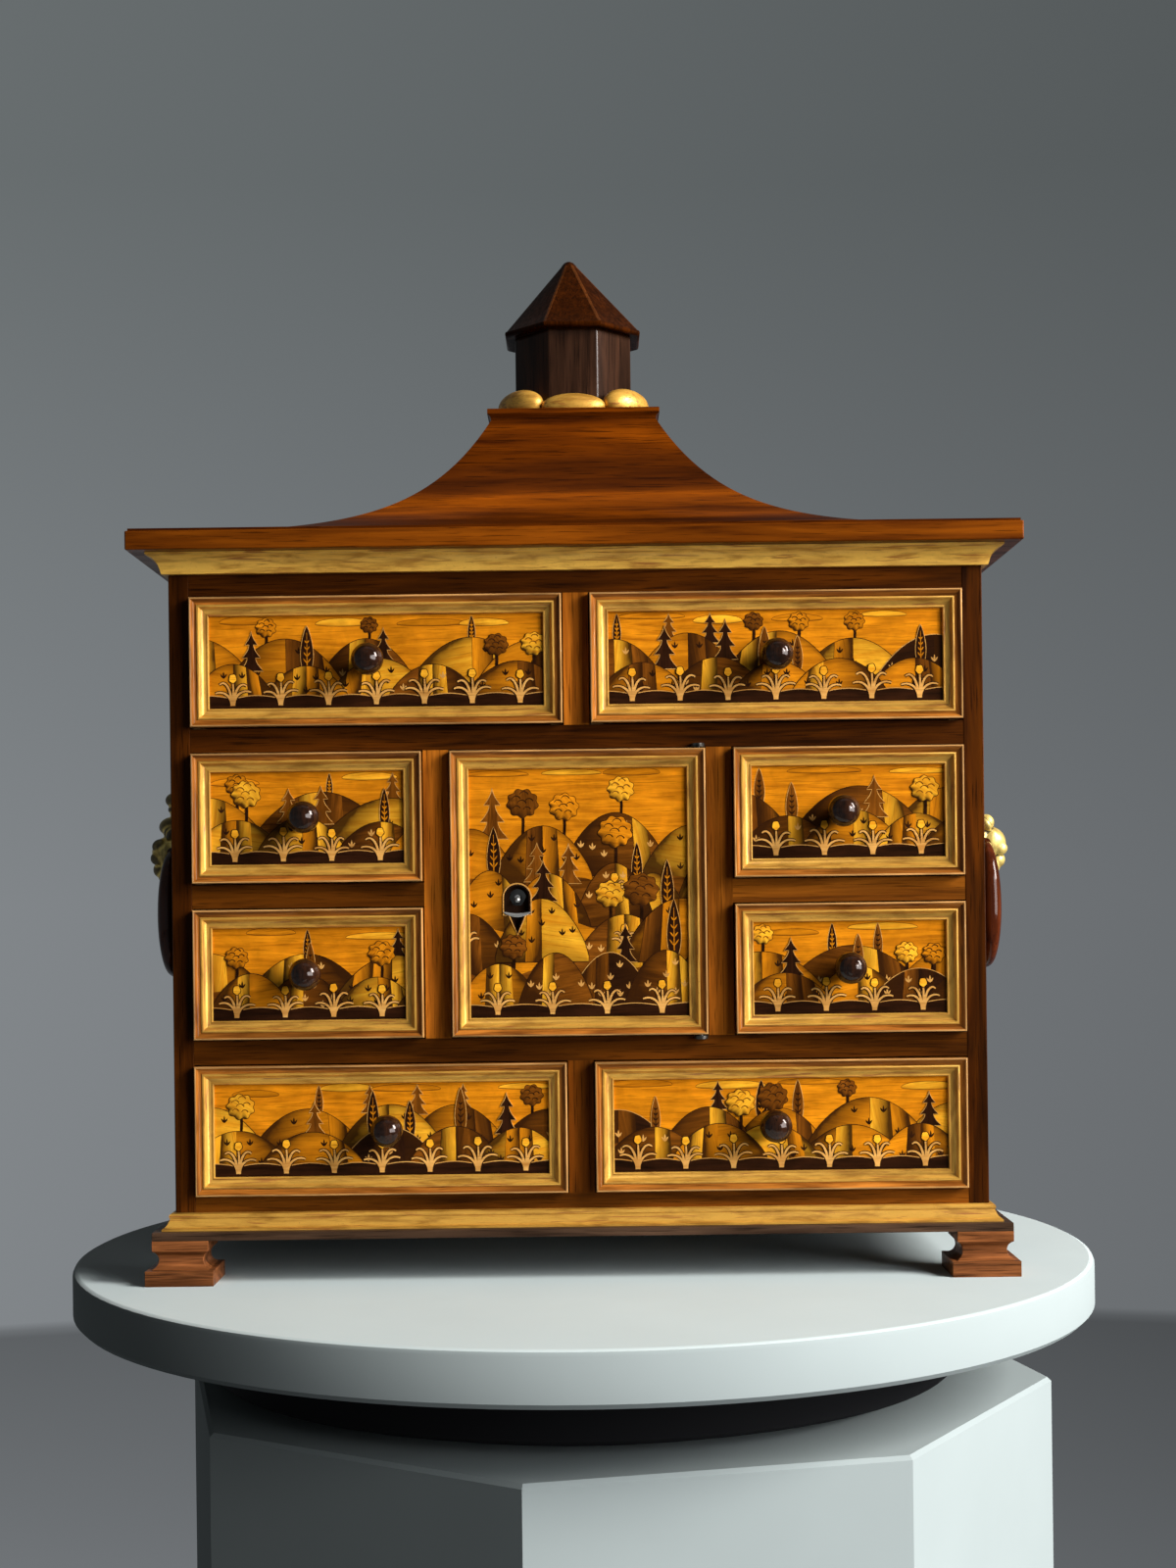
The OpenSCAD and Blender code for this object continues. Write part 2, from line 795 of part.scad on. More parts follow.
// The outline of the keyhole lining, seen from the front, its round head at the origin
module lining_outline(grow) {
    circle(lining_r + grow);
    translate([-lining_r - grow, -lining_leg - grow]) square([2 * (lining_r + grow), lining_leg + grow]);
    translate([0, -lining_leg - grow])
        polygon([[-point_r - grow, cut], [0, -point_h], [point_r + grow, cut]]);
}

module door_panel() {
    color(amber) difference() {
        box(
            [-door_w / 2, face_y, door_mid_z - door_h / 2],
            [door_w / 2, door_back_y, door_mid_z + door_h / 2]
        );
        translate([key_x, face_y + lining_t, key_z]) rotate([90, 0, 0])
            linear_extrude(lining_t + cut) lining_outline(lining_fit);
        translate([key_x, door_back_y + cut, key_z]) rotate([90, 0, 0])
            cylinder(h = door_t + 2 * cut, r = key_bore_r);
    }
}

module door_frame() {
    bore_l = pivot_l + front_gap;
    color(walnut) difference() {
        translate([0, face_y, door_mid_z]) frame(door_w, door_h);
        for (s = [-1, 1])
            translate([pivot_x, pivot_y, door_mid_z + s * door_h / 2 - bore_l])
                cylinder(h = 2 * bore_l, r = pivot_r + pivot_fit);
    }
}

module keyhole_lining() {
    color(ebony) translate([key_x, face_y + lining_t, key_z]) rotate([90, 0, 0])
        difference() {
            linear_extrude(lining_t) lining_outline(0);
            translate([0, 0, -cut]) cylinder(h = lining_t + 2 * cut, r = key_bore_r);
        }
}

// The lock's pan, open towards the door, with the slot for the bolt and the drill pin
module lock_case() {
    low = [lock_x, door_back_y, key_z - lock_h / 2];
    high = [lock_x + lock_w, door_back_y + lock_d, key_z + lock_h / 2];
    wall = [lock_wall, 0, lock_wall];
    pin_l = door_t - drill_pin_back + lock_d - lock_wall / 2;
    color(steel) union() {
        difference() {
            box(low, high);
            box(low + wall - [0, cut, 0], high - [lock_wall, lock_wall, lock_wall]);
            box(
                [lock_x - cut, bolt_y - bolt_fit, key_z - bolt_h / 2 - bolt_fit],
                [lock_x + lock_wall + cut, bolt_y + bolt_t + bolt_fit, key_z + bolt_h / 2 + bolt_fit]
            );
        }
        translate([key_x, door_back_y + lock_d - lock_wall / 2, key_z]) rotate([90, 0, 0])
            cylinder(h = pin_l, r = drill_pin_r);
    }
}

module lock_bolt() {
    color(steel) box(
        [lock_x, bolt_y, key_z - bolt_h / 2],
        [lock_x + bolt_l, bolt_y + bolt_t, key_z + bolt_h / 2]
    );
}

// A side handle's mount, on the right side
module handle_mount() {
    bore_l = 2 * crown_r + 2 * cut;
    color(gilt) translate([case_w / 2, handle_y, handle_z]) difference() {
        union() {
            translate([0, 0, crown_up / 2]) rotate([0, 90, 0]) cylinder(h = plate_t, r = plate_r);
            intersection() {
                translate([crown_out, 0, crown_up]) sphere(crown_r);
                translate([0, -crown_r, 0]) cube([2 * crown_r, 2 * crown_r, 2 * crown_up]);
            }
            translate([0, 0, arm_up]) rotate([0, 90, 0])
                cylinder(h = mount_reach - muzzle_r, r = muzzle_l / 2);
            translate([mount_reach - muzzle_r, muzzle_l / 2, 0]) rotate([90, 0, 0])
                cylinder(h = muzzle_l, r = muzzle_r);
            translate([mount_reach - muzzle_r, 0, -drop_down]) sphere(drop_r);
        }
        translate([axis_out, bore_l / 2, 0]) rotate([90, 0, 0]) cylinder(h = bore_l, r = bar_r + bar_fit);
    }
}

module handle_mount_right() {
    handle_mount();
}

module handle_mount_left() {
    mirror([1, 0, 0]) handle_mount();
}

// The ring's middle line from one shoulder round to the other, as [out, along, up] from the axis
ring_steps = 40;
ring_sides = 12;
ring_power = 2 / 3;
shoulder = muzzle_l / 2 + muzzle_gap;
ring_start = asin(pow(shoulder / (ring_w / 2), 1 / ring_power));
function sign_pow(v) = sign(v) * pow(abs(v), ring_power);
function ring_angle(i) = ring_start + (360 - 2 * ring_start) * i / ring_steps;
function ring_down(a) = (1 - sign_pow(cos(a))) / 2;
function ring_mid(a) = [
    ring_bow * sin(180 * ring_down(a)), ring_w / 2 * sign_pow(sin(a)), -ring_drop * ring_down(a)
];
function ring_radius(a) =
    let (d = ring_down(a))
    (bar_r + (ring_thin - bar_r) * d) + (ring_thick - (bar_r + ring_thin) / 2) * sin(180 * d);
// Direction of the middle line at a step, level along the bar at both shoulders
function ring_way(i) =
    let (
        a = ring_angle(i),
        v = ring_mid(a + 0.5) - ring_mid(a - 0.5)
    )
    (i == 0 || i == ring_steps) ? [0, 1, 0] : v / norm(v);
function ring_loop(i) =
    let (
        a = ring_angle(i),
        way = ring_way(i),
        side_raw = [1, 0, 0] - way[0] * way,
        side = side_raw / norm(side_raw),
        up = cross(way, side),
        r = ring_radius(a)
    )
    [for (k = [0 : ring_sides - 1])
        let (t = 360 * k / ring_sides)
        ring_mid(a) + r * cos(t) * side + r * sin(t) * up];

// A ring with the bar that turns in the mount, its axis along Y through the origin
module ring() {
    loops = [for (i = [0 : ring_steps]) ring_loop(i)];
    points = [for (one = loops) for (p = one) p];
    last = ring_steps * ring_sides;
    quads = [
        for (i = [0 : ring_steps - 1]) for (k = [0 : ring_sides - 1])
            let (n = (k + 1) % ring_sides, a = i * ring_sides, b = (i + 1) * ring_sides)
            each [[a + k, b + n, a + n], [a + k, b + k, b + n]]
    ];
    ends = [
        for (k = [1 : ring_sides - 2])
            each [[0, k, k + 1], [last, last + k + 1, last + k]]
    ];
    polyhedron(points, concat(quads, ends));
    translate([0, shoulder + bar_r, 0]) rotate([90, 0, 0]) cylinder(h = 2 * (shoulder + bar_r), r = bar_r);
}

module handle_right() {
    color(ebony) translate([case_w / 2 + axis_out, handle_y, handle_z]) ring();
}

module handle_left() {
    color(ebony) mirror([1, 0, 0]) translate([case_w / 2 + axis_out, handle_y, handle_z]) ring();
}

// The bottom of drawer i, let into the sides and the front
module drawer_bottom(i, grow) {
    half = opening_w(i) / 2 - front_gap - drawer_side_t + drawer_groove + grow;
    z = opening_z(i) + run_gap + drawer_bottom_lift;
    translate([opening_x(i), 0, 0]) box(
        [-half, face_y + front_t - drawer_groove - grow, z - grow],
        [half, inner_back_y - drawer_backroom + (grow > 0 ? cut : 0), z + drawer_bottom_t + grow]
    );
}

// The two sides of drawer i before they are grooved, longer in front by grow when they cut the front
module drawer_sides(i, grow) {
    outer = opening_w(i) / 2 - front_gap;
    z = opening_z(i) + run_gap;
    for (s = [-1, 1]) {
        near = s * (outer - drawer_side_t - grow);
        far = s * (outer + (grow > 0 ? cut : 0));
        translate([opening_x(i), 0, 0]) box(
            [min(near, far), face_y + front_t - drawer_lap - grow, z - (grow > 0 ? cut : 0)],
            [max(near, far), inner_back_y - drawer_backroom, z + drawer_side_h + grow]
        );
    }
}

// Front, two sides, back and bottom of drawer i
module drawer_box(i) {
    w = opening_w(i) - 2 * front_gap;
    z = opening_z(i);
    bottom_z = z + run_gap + drawer_bottom_lift + drawer_bottom_t;
    end_y = inner_back_y - drawer_backroom;
    knob_x = opening_x(i) + KNOB_SHIFT[i];
    color(amber) difference() {
        translate([opening_x(i), 0, 0])
            box([-w / 2, face_y, z + front_gap], [w / 2, face_y + front_t, z + row_h - front_gap]);
        drawer_sides(i, glue_line);
        drawer_bottom(i, glue_line);
        translate([knob_x, face_y - cut, z + row_h / 2]) rotate([-90, 0, 0])
            cylinder(h = tenon_l + cut + tenon_fit, r = tenon_r + tenon_fit);
    }
    color(pine) difference() {
        drawer_sides(i, 0);
        drawer_bottom(i, glue_line);
    }
    color(pine) drawer_bottom(i, 0);
    color(pine) translate([opening_x(i), 0, 0]) box(
        [-w / 2 + drawer_side_t + glue_line, end_y - drawer_side_t, bottom_z + glue_line],
        [w / 2 - drawer_side_t - glue_line, end_y, z + run_gap + drawer_side_h]
    );
}

module drawer_frame(i) {
    color(walnut) translate([opening_x(i), face_y, opening_z(i) + row_h / 2])
        frame(opening_w(i) - 2 * front_gap, row_h - 2 * front_gap);
}

// A turned knob: tenon, flange, neck and ball
module drawer_knob(i) {
    color(ebony) translate([opening_x(i) + KNOB_SHIFT[i], face_y, opening_z(i) + row_h / 2])
        rotate([90, 0, 0]) union() {
            translate([0, 0, -tenon_l]) cylinder(h = tenon_l + cut, r = tenon_r);
            cylinder(h = knob_flange_t, r = knob_flange_r);
            cylinder(h = knob_reach - knob_r, r = knob_neck_r);
            translate([0, 0, knob_reach - knob_r]) sphere(knob_r);
        }
}

base_board();
plinth_moulding();
front_feet();
back_feet();
bottom_blocks();
side_left();
side_right();
case_bottom();
case_top();
back_panel();
upper_shelf();
lower_shelf();
short_shelf_left();
short_shelf_right();
divider_top();
divider_bottom();
door_wall_left();
door_wall_right();
door_stop();
cornice_moulding();
cornice_board();
roof_panels();
roof_cap();
turret_body();
turret_roof();
turret_eggs();
door_hinges();
handle_mount_left();
handle_mount_right();
handle_left();
handle_right();
door_panel();
door_frame();
keyhole_lining();
lock_case();
lock_bolt();
for (i = [0 : len(PLACES) - 1]) {
    drawer_box(i);
    drawer_frame(i);
    drawer_knob(i);
}
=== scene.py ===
"""Dresses the packed table cabinet in veneer, gilding, turned wood and steel, on a plain round stand."""

import contextlib
import math
import random

import bmesh
import bpy
from mathutils import Matrix, Vector


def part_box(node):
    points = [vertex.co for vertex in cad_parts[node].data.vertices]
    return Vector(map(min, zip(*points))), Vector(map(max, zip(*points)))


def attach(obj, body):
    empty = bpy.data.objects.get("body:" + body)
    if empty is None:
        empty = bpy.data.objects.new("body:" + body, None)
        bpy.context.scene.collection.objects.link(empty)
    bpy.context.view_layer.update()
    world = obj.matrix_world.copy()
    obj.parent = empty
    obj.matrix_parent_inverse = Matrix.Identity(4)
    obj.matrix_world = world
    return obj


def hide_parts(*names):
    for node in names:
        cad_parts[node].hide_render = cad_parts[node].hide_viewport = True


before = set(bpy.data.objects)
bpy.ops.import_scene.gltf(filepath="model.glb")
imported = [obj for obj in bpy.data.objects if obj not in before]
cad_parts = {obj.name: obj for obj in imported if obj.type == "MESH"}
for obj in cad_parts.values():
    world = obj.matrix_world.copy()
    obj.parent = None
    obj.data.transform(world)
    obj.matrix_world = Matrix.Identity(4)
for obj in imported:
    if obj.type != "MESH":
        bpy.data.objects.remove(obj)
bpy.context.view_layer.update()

bl_info = {
    "name": "Table Cabinet",
    "version": (1, 0, 0),
    "blender": (4, 5, 0),
    "location": "3D View > Sidebar > Cabinet",
    "description": "Dresses a table cabinet with veneers, gilding, turned knobs and carved handle mounts",
    "category": "Object",
}

MM = 0.001
PLACES = (
    "top_left", "top_right", "upper_left", "upper_right",
    "lower_left", "lower_right", "bottom_left", "bottom_right",
)
SMOOTH_ANGLE = math.radians(32)
BOARD_ANGLE = math.radians(18)
SHARP = math.radians(28)


# User settings


def length(name, description, default):
    """A size property, given in millimetres."""
    return bpy.props.FloatProperty(
        name=name, description=description, default=default * MM, unit="LENGTH", precision=4
    )


def colour(name, description, default):
    """A colour property, given as linear red, green and blue."""
    return bpy.props.FloatVectorProperty(
        name=name, description=description, default=default, subtype="COLOR", min=0.0, max=1.0
    )


def tone_pairs(*rows):
    """Dark and light colour properties for each row: key, what has these streaks, dark, light."""
    made = {}
    for key, what, dark, light in rows:
        for word, tone in (("dark", dark), ("light", light)):
            title, note = "%s %s" % (key.capitalize(), word), "%s streaks of %s" % (word.capitalize(), what)
            made["%s_%s" % (key, word)] = colour(title, note, tone)
    return made


class CabinetWoods(bpy.types.PropertyGroup):
    """Colours of the woods, the gilding and the metal."""

    __annotations__ = tone_pairs(
        ("rosewood", "the carcass", (0.012, 0.0028, 0.0003), (0.105, 0.026, 0.002)),
        ("upright", "the uprights beside the door", (0.17, 0.046, 0.0035), (0.62, 0.19, 0.015)),
        ("walnut", "the top board", (0.075, 0.014, 0.0004), (0.31, 0.075, 0.003)),
        ("roof", "the roof", (0.069, 0.0125, 0.0004), (0.39, 0.086, 0.0012)),
        ("bead", "the frames' outer beads", (0.15, 0.04, 0.004), (0.5, 0.17, 0.022)),
        ("spire", "the turret roof", (0.013, 0.003, 0.0003), (0.05, 0.0105, 0.0007)),
        ("black", "the stained black wood", (0.008, 0.0035, 0.0018), (0.06, 0.025, 0.013)),
        ("foot", "the feet", (0.07, 0.022, 0.007), (0.34, 0.115, 0.035)),
        ("base", "the base board", (0.02, 0.01, 0.006), (0.11, 0.06, 0.035)),
        ("knob", "the knobs", (0.008, 0.003, 0.0014), (0.036, 0.012, 0.005)),
        ("pine", "the drawer linings", (0.2, 0.11, 0.045), (0.46, 0.3, 0.15)),
        ("ring", "the ring handles", (0.02, 0.004, 0.0014), (0.14, 0.026, 0.005)),
    )
    arris: colour("Worn arris", "Pale edge where a bead's polish has rubbed away", (0.7, 0.36, 0.12))
    hip: colour("Worn hip", "Rubbed edges between the turret roof's slopes", (0.11, 0.03, 0.005))
    gold: colour("Gold leaf", "Bright gold leaf", (0.9, 0.48, 0.077))
    gold_dull: colour("Dull gold", "Rubbed and toned gold leaf", (0.48, 0.225, 0.026))
    bole: colour("Bole", "Red ground that shows where the leaf has worn", (0.34, 0.11, 0.016))
    mount_gold: colour("Mount gold", "Bright leaf on the carved mounts", (0.9, 0.68, 0.2))
    mount_dull: colour("Mount dull", "Rubbed leaf on the carved mounts", (0.48, 0.33, 0.085))
    # The mounts' dark colour in their hollows is partly grime and partly painted shade
    mount_dark: colour("Mount dark", "Grime and painted shade in the hollows of the carved mounts", (0.03, 0.02, 0.007))
    steel: colour("Steel", "Worn steel of the lock and the pivots", (0.34, 0.32, 0.29))
    steel_dark: colour("Steel dark", "Tarnish on the steel", (0.06, 0.05, 0.042))


class CabinetVeneers(bpy.types.PropertyGroup):
    """Colours and sizes of the inlaid fronts."""

    __annotations__ = tone_pairs(
        ("amber", "the amber veneer", (0.42, 0.125, 0.0029), (0.77, 0.262, 0.0068)),
        ("honey", "the honey veneer", (0.66, 0.23, 0.007), (1.0, 0.5, 0.03)),
        ("brown", "the brown veneer", (0.07, 0.019, 0.002), (0.25, 0.075, 0.006)),
        ("dark", "the dark veneer", (0.008, 0.0026, 0.0012), (0.036, 0.011, 0.004)),
        ("pale", "the pale stringing", (0.5, 0.21, 0.04), (0.82, 0.44, 0.12)),
    )
    scorch: colour("Scorch", "Colour of edges shaded in hot sand", (0.03, 0.009, 0.002))
    ground_h: length("Ground strip", "Height of the dark strip along a front's lower edge", 7.0)


class CabinetShapes(bpy.types.PropertyGroup):
    """Sizes of the turned, moulded and eased pieces."""

    frame_w: length("Frame width", "Width of a frame from its outer edge to the panel", 11.0)
    ease: length("Eased edge", "Width of the rounding along a board's edges", 0.5)
    fine_ease: length("Fine eased edge", "Width of the rounding inside the drawers", 0.3)
    knob_r: length("Knob radius", "Radius of a knob's ball", 9.5)
    knob_reach: length("Knob reach", "Reach of a knob in front of its panel", 22.0)
    mount_voxel: length("Carving grain", "Size of the finest form in the carved mounts", 0.55)


class CabinetStudio(bpy.types.PropertyGroup):
    """Camera, lamps and stand."""

    lens: bpy.props.FloatProperty(
        name="Lens", description="Focal length in millimetres", default=48.52, unit="CAMERA"
    )
    eye: bpy.props.FloatVectorProperty(
        name="Eye", description="Place of the camera", default=(0.00548, -1.3657, 0.22352), subtype="TRANSLATION"
    )
    roll: bpy.props.FloatProperty(
        name="Roll", description="Turn of the camera about its own line of sight",
        default=math.radians(0.70), subtype="ANGLE",
    )
    rise: bpy.props.FloatProperty(
        name="Rise", description="Upward shift of the picture, as a share of its height", default=0.0729
    )
    key_power: bpy.props.FloatProperty(
        name="Key light", description="Power of the large lamp at the right", default=216.0, unit="POWER"
    )
    broad_power: bpy.props.FloatProperty(
        name="Broad light", description="Power of the wide lamp at the front right", default=104.0, unit="POWER"
    )
    top_power: bpy.props.FloatProperty(
        name="Top light", description="Power of the lamp overhead", default=1.0, unit="POWER"
    )
    room: bpy.props.FloatProperty(
        name="Room light", description="Strength of the even light from all round", default=0.042
    )
    # The stand's top is painted paler than its sides: the top's paint carries painted light, the sides' paint painted
    # shade
    stand: colour("Stand", "Pale paint on the sides of the stand", (0.36, 0.413, 0.418))
    stand_top: colour("Stand top", "Pale paint on top of the stand, made paler as painted light", (0.6, 0.69, 0.7))
    backdrop_low: colour("Backdrop low", "Grey of the backdrop near the horizon", (0.2, 0.215, 0.228))
    backdrop_high: colour("Backdrop high", "Grey of the backdrop above", (0.126, 0.141, 0.145))


def woods():
    return bpy.context.scene.cabinet_woods


def veneers():
    return bpy.context.scene.cabinet_veneers


def shapes():
    return bpy.context.scene.cabinet_shapes


def studio():
    return bpy.context.scene.cabinet_studio


# Shader helpers


def feed(tree, node, inputs):
    """Sets a node's inputs, from values or from other nodes' outputs."""
    for key, value in inputs.items():
        if isinstance(value, bpy.types.NodeSocket):
            tree.links.new(value, node.inputs[key])
        else:
            node.inputs[key].default_value = value


def add(tree, kind, inputs=None, **settings):
    """A shader node with its settings and its inputs."""
    made = tree.nodes.new("ShaderNode" + kind)
    for key, value in settings.items():
        setattr(made, key, value)
    feed(tree, made, inputs or {})
    return made


def math_of(tree, operation, a, b):
    """Two values combined."""
    return add(tree, "Math", {0: a, 1: b}, operation=operation).outputs[0]


def grey(tree, value):
    """A value as a colour."""
    return add(tree, "CombineColor", {"Red": value, "Green": value, "Blue": value}).outputs["Color"]


def blank(name):
    """An empty material with its node tree and its surface shader."""
    made = bpy.data.materials.new(name)
    made.use_nodes = True
    return made, made.node_tree, made.node_tree.nodes["Principled BSDF"]


def rgba(value):
    return (*value[:3], 1.0)


def scaled(tone, share):
    return tuple(c * share for c in tone)


def between(a, b, share):
    return tuple(x + (y - x) * share for x, y in zip(a, b))


def ramp(tree, factor, stops):
    """A colour ramp through (place, colour) stops."""
    made = add(tree, "ValToRGB", {"Fac": factor})
    band = made.color_ramp
    while len(band.elements) < len(stops):
        band.elements.new(0.5)
    for element, (place, tone) in zip(band.elements, stops):
        element.position = place
        element.color = rgba(tone)
    return made.outputs["Color"]


def spread(tree, value, low, high, to_low, to_high):
    """A value carried from one range to another, held at both ends."""
    return add(
        tree, "MapRange",
        {"Value": value, "From Min": low, "From Max": high, "To Min": to_low, "To Max": to_high},
    ).outputs["Result"]


def mixed(tree, factor, a, b, blend="MIX"):
    """Two colours mixed."""
    a, b = (tone if isinstance(tone, bpy.types.NodeSocket) else rgba(tone) for tone in (a, b))
    return add(tree, "Mix", {0: factor, 6: a, 7: b}, data_type="RGBA", blend_type=blend).outputs[2]


def grain_place(tree, axis, along, across):
    """Places on the piece, drawn out along its grain."""
    scale = [across] * 3
    scale["xyz".index(axis)] = along
    place = add(tree, "TexCoord").outputs["Object"]
    return add(tree, "Mapping", {"Vector": place, "Scale": scale}).outputs["Vector"]


def noise(tree, vector, detail=4.0, distortion=0.0, rough=0.55, scale=1.0):
    return add(
        tree, "TexNoise",
        {"Vector": vector, "Scale": scale, "Detail": detail, "Roughness": rough, "Distortion": distortion},
    ).outputs["Fac"]


def roughen(tree, skin, height, depth, strength):
    """Bump on the surface from a height."""
    bump = add(tree, "Bump", {"Height": height, "Strength": strength, "Distance": depth})
    feed(tree, skin, {"Normal": bump.outputs["Normal"]})


def kept(make):
    """Makes each material only once. Its name is the first value."""

    def found(name, *values):
        return bpy.data.materials.get(name) or make(name, *values)

    return found


@kept
def wood(name, dark, light, axis, gloss=0.3, coat=0.05, wide=120.0, figure=16.0, shine=0.08):
    """Polished wood with bands, fibres, pores and a slow figure along one axis."""
    made, tree, skin = blank(name)
    bands = noise(tree, grain_place(tree, axis, wide / 14, wide), 6.0, 0.7)
    fibres = noise(tree, grain_place(tree, axis, 34.0, 1150.0), 3.0)
    cloud = noise(tree, grain_place(tree, axis, figure / 4, figure), 2.0, 0.4)
    base = ramp(tree, bands, ((0.3, dark), (0.5, between(dark, light, 0.45)), (0.7, light)))
    base = mixed(tree, 1.0, base, grey(tree, spread(tree, cloud, 0.3, 0.7, 0.55, 1.25)), "MULTIPLY")
    pores = spread(tree, fibres, 0.56, 0.66, 0.0, 0.75)
    feed(tree, skin, {
        "Base Color": mixed(tree, pores, base, scaled(dark, 0.45)),
        "Roughness": spread(tree, bands, 0.3, 0.7, gloss + 0.1, gloss - 0.05),
        "Coat Weight": coat,
        "Coat Roughness": 0.08,
        "Specular IOR Level": shine,
        "Specular Tint": rgba(between(scaled(light, 1 / max(light)), (1, 1, 1), 0.25)),
    })
    roughen(tree, skin, fibres, 0.00012, 0.35)
    return made


@kept
def gilding(name, axis, level=1.0, metal=0.42):
    """Gold leaf over a red ground, rubbed in streaks along one axis. Its level scales all its colours, which the
    mouldings use for painted light and painted shade.
    """
    leaves = (woods().gold, woods().gold_dull, woods().bole)
    gold, dull, bole = (tuple(min(1.0, c * level) for c in tone) for tone in leaves)
    made, tree, skin = blank(name)
    streaks = noise(tree, grain_place(tree, axis, 30.0, 640.0), 6.0, 0.6)
    patches = noise(tree, grain_place(tree, axis, 40.0, 230.0), 6.0, 0.4)
    specks = noise(tree, grain_place(tree, axis, 700.0, 1500.0), 2.0)
    leaf = ramp(tree, patches, ((0.36, dull), (0.47, between(dull, gold, 0.6)), (0.57, gold)))
    worn = spread(tree, streaks, 0.57, 0.64, 0.0, 0.85)
    flecks = spread(tree, specks, 0.66, 0.72, 0.0, 0.6)
    bare = math_of(tree, "MAXIMUM", worn, flecks)
    feed(tree, skin, {
        "Base Color": mixed(tree, bare, leaf, bole),
        "Metallic": spread(tree, bare, 0.0, 0.8, metal, 0.05),
        "Roughness": spread(tree, patches, 0.3, 0.7, 0.5, 0.3),
    })
    roughen(tree, skin, math_of(tree, "ADD", streaks, specks), 0.0003, 0.3)
    return made


@kept
def carved_gilding(name):
    """Gold leaf on a carving, darkened with grime and painted shade where its hollow attribute is high."""
    made, tree, skin = blank(name)
    patches = noise(tree, grain_place(tree, "z", 150.0, 190.0), 5.0, 0.5)
    leaf_tone = ramp(tree, patches, ((0.34, woods().mount_dull), (0.6, woods().mount_gold)))
    hollow = add(tree, "Attribute", attribute_name="hollow").outputs["Fac"]
    # Creases are darkened towards the mount dark colour: partly grime, partly painted shade
    feed(tree, skin, {
        "Base Color": mixed(tree, spread(tree, hollow, 0.1, 0.8, 0.0, 0.92), leaf_tone, woods().mount_dark),
        "Metallic": spread(tree, hollow, 0.1, 0.7, 0.45, 0.05),
        "Roughness": spread(tree, patches, 0.3, 0.7, 0.5, 0.3),
    })
    roughen(tree, skin, patches, 0.0003, 0.3)
    return made


@kept
def veneer(name, dark, light):
    """Inlaid veneer. Its veneer attribute gives each piece's tone, grain direction and sand shading."""
    made, tree, skin = blank(name)
    own = add(tree, "SeparateColor", {"Color": add(tree, "Attribute", attribute_name="veneer").outputs["Color"]})
    tone, turn, shade = (own.outputs[k] for k in ("Red", "Green", "Blue"))
    angle = math_of(tree, "MULTIPLY", turn, math.pi)
    spot = add(tree, "TexCoord").outputs["Object"]
    lie = add(tree, "VectorRotate", {"Vector": spot, "Angle": angle}, rotation_type="Y_AXIS").outputs["Vector"]

    def drawn(along, across):
        return add(tree, "Mapping", {"Vector": lie, "Scale": (along, across, across)}).outputs["Vector"]

    bands = noise(tree, drawn(22.0, 260.0), 6.0, 0.9)
    fibres = noise(tree, drawn(60.0, 1500.0), 3.0)
    mottle = noise(tree, drawn(60.0, 70.0), 3.0, 0.5)
    base = ramp(tree, bands, ((0.28, dark), (0.52, between(dark, light, 0.55)), (0.72, light)))
    lift = math_of(tree, "MULTIPLY", spread(tree, mottle, 0.3, 0.7, 0.72, 1.12),
                   spread(tree, tone, 0.0, 1.0, 0.7, 1.25))
    base = mixed(tree, 1.0, base, grey(tree, lift), "MULTIPLY")
    base = mixed(tree, spread(tree, fibres, 0.56, 0.68, 0.0, 0.5), base, scaled(dark, 0.4))
    burnt = math_of(tree, "MULTIPLY", shade, spread(tree, mottle, 0.3, 0.7, 0.7, 1.1))
    feed(tree, skin, {
        "Base Color": mixed(tree, spread(tree, burnt, 0.06, 0.72, 0.0, 0.96), base, veneers().scorch),
        "Roughness": spread(tree, bands, 0.3, 0.7, 0.42, 0.28),
        "Coat Weight": 0.04,
        "Coat Roughness": 0.1,
        "Specular IOR Level": 0.08,
        "Specular Tint": (1.0, 0.6, 0.25, 1.0),
    })
    roughen(tree, skin, fibres, 0.0001, 0.3)
    return made


@kept
def steel(name, bright=1.0):
    """Worn steel with tarnish, or iron if it is less bright."""
    made, tree, skin = blank(name)
    patches = noise(tree, grain_place(tree, "x", 160.0, 160.0), 5.0, 0.4)
    scratches = noise(tree, grain_place(tree, "x", 60.0, 2400.0), 2.0)
    tarnish, clean = scaled(woods().steel_dark, bright), scaled(woods().steel, bright)
    feed(tree, skin, {
        "Base Color": ramp(tree, patches, ((0.36, tarnish), (0.58, clean))),
        "Roughness": spread(tree, scratches, 0.3, 0.7, 0.28, 0.5),
        "Metallic": 1.0,
    })
    roughen(tree, skin, scratches, 0.0001, 0.2)
    return made


# How each wood is finished: gloss, wax coat, width of its bands, of its figure, and shine
TIMBERS = {
    "rosewood": (0.4, 0.03),
    "walnut": (0.32, 0.06, 90.0, 9.0),
    "roof": (0.32, 0.06, 90.0, 9.0),
    "bead": (0.36, 0.2, 300.0, 40.0),
    "base": (0.4, 0.05),
    "black": (0.3, 0.22, 120.0, 16.0, 0.04),
    "foot": (0.38, 0.06, 260.0, 50.0),
    "spire": (0.36, 0.03, 420.0, 60.0, 0.03),
    "knob": (0.16, 0.6, 260.0, 60.0, 0.1),
    "ring": (0.2, 0.4, 120.0, 24.0, 0.05),
    "pine": (0.55, 0.0, 100.0, 20.0),
}

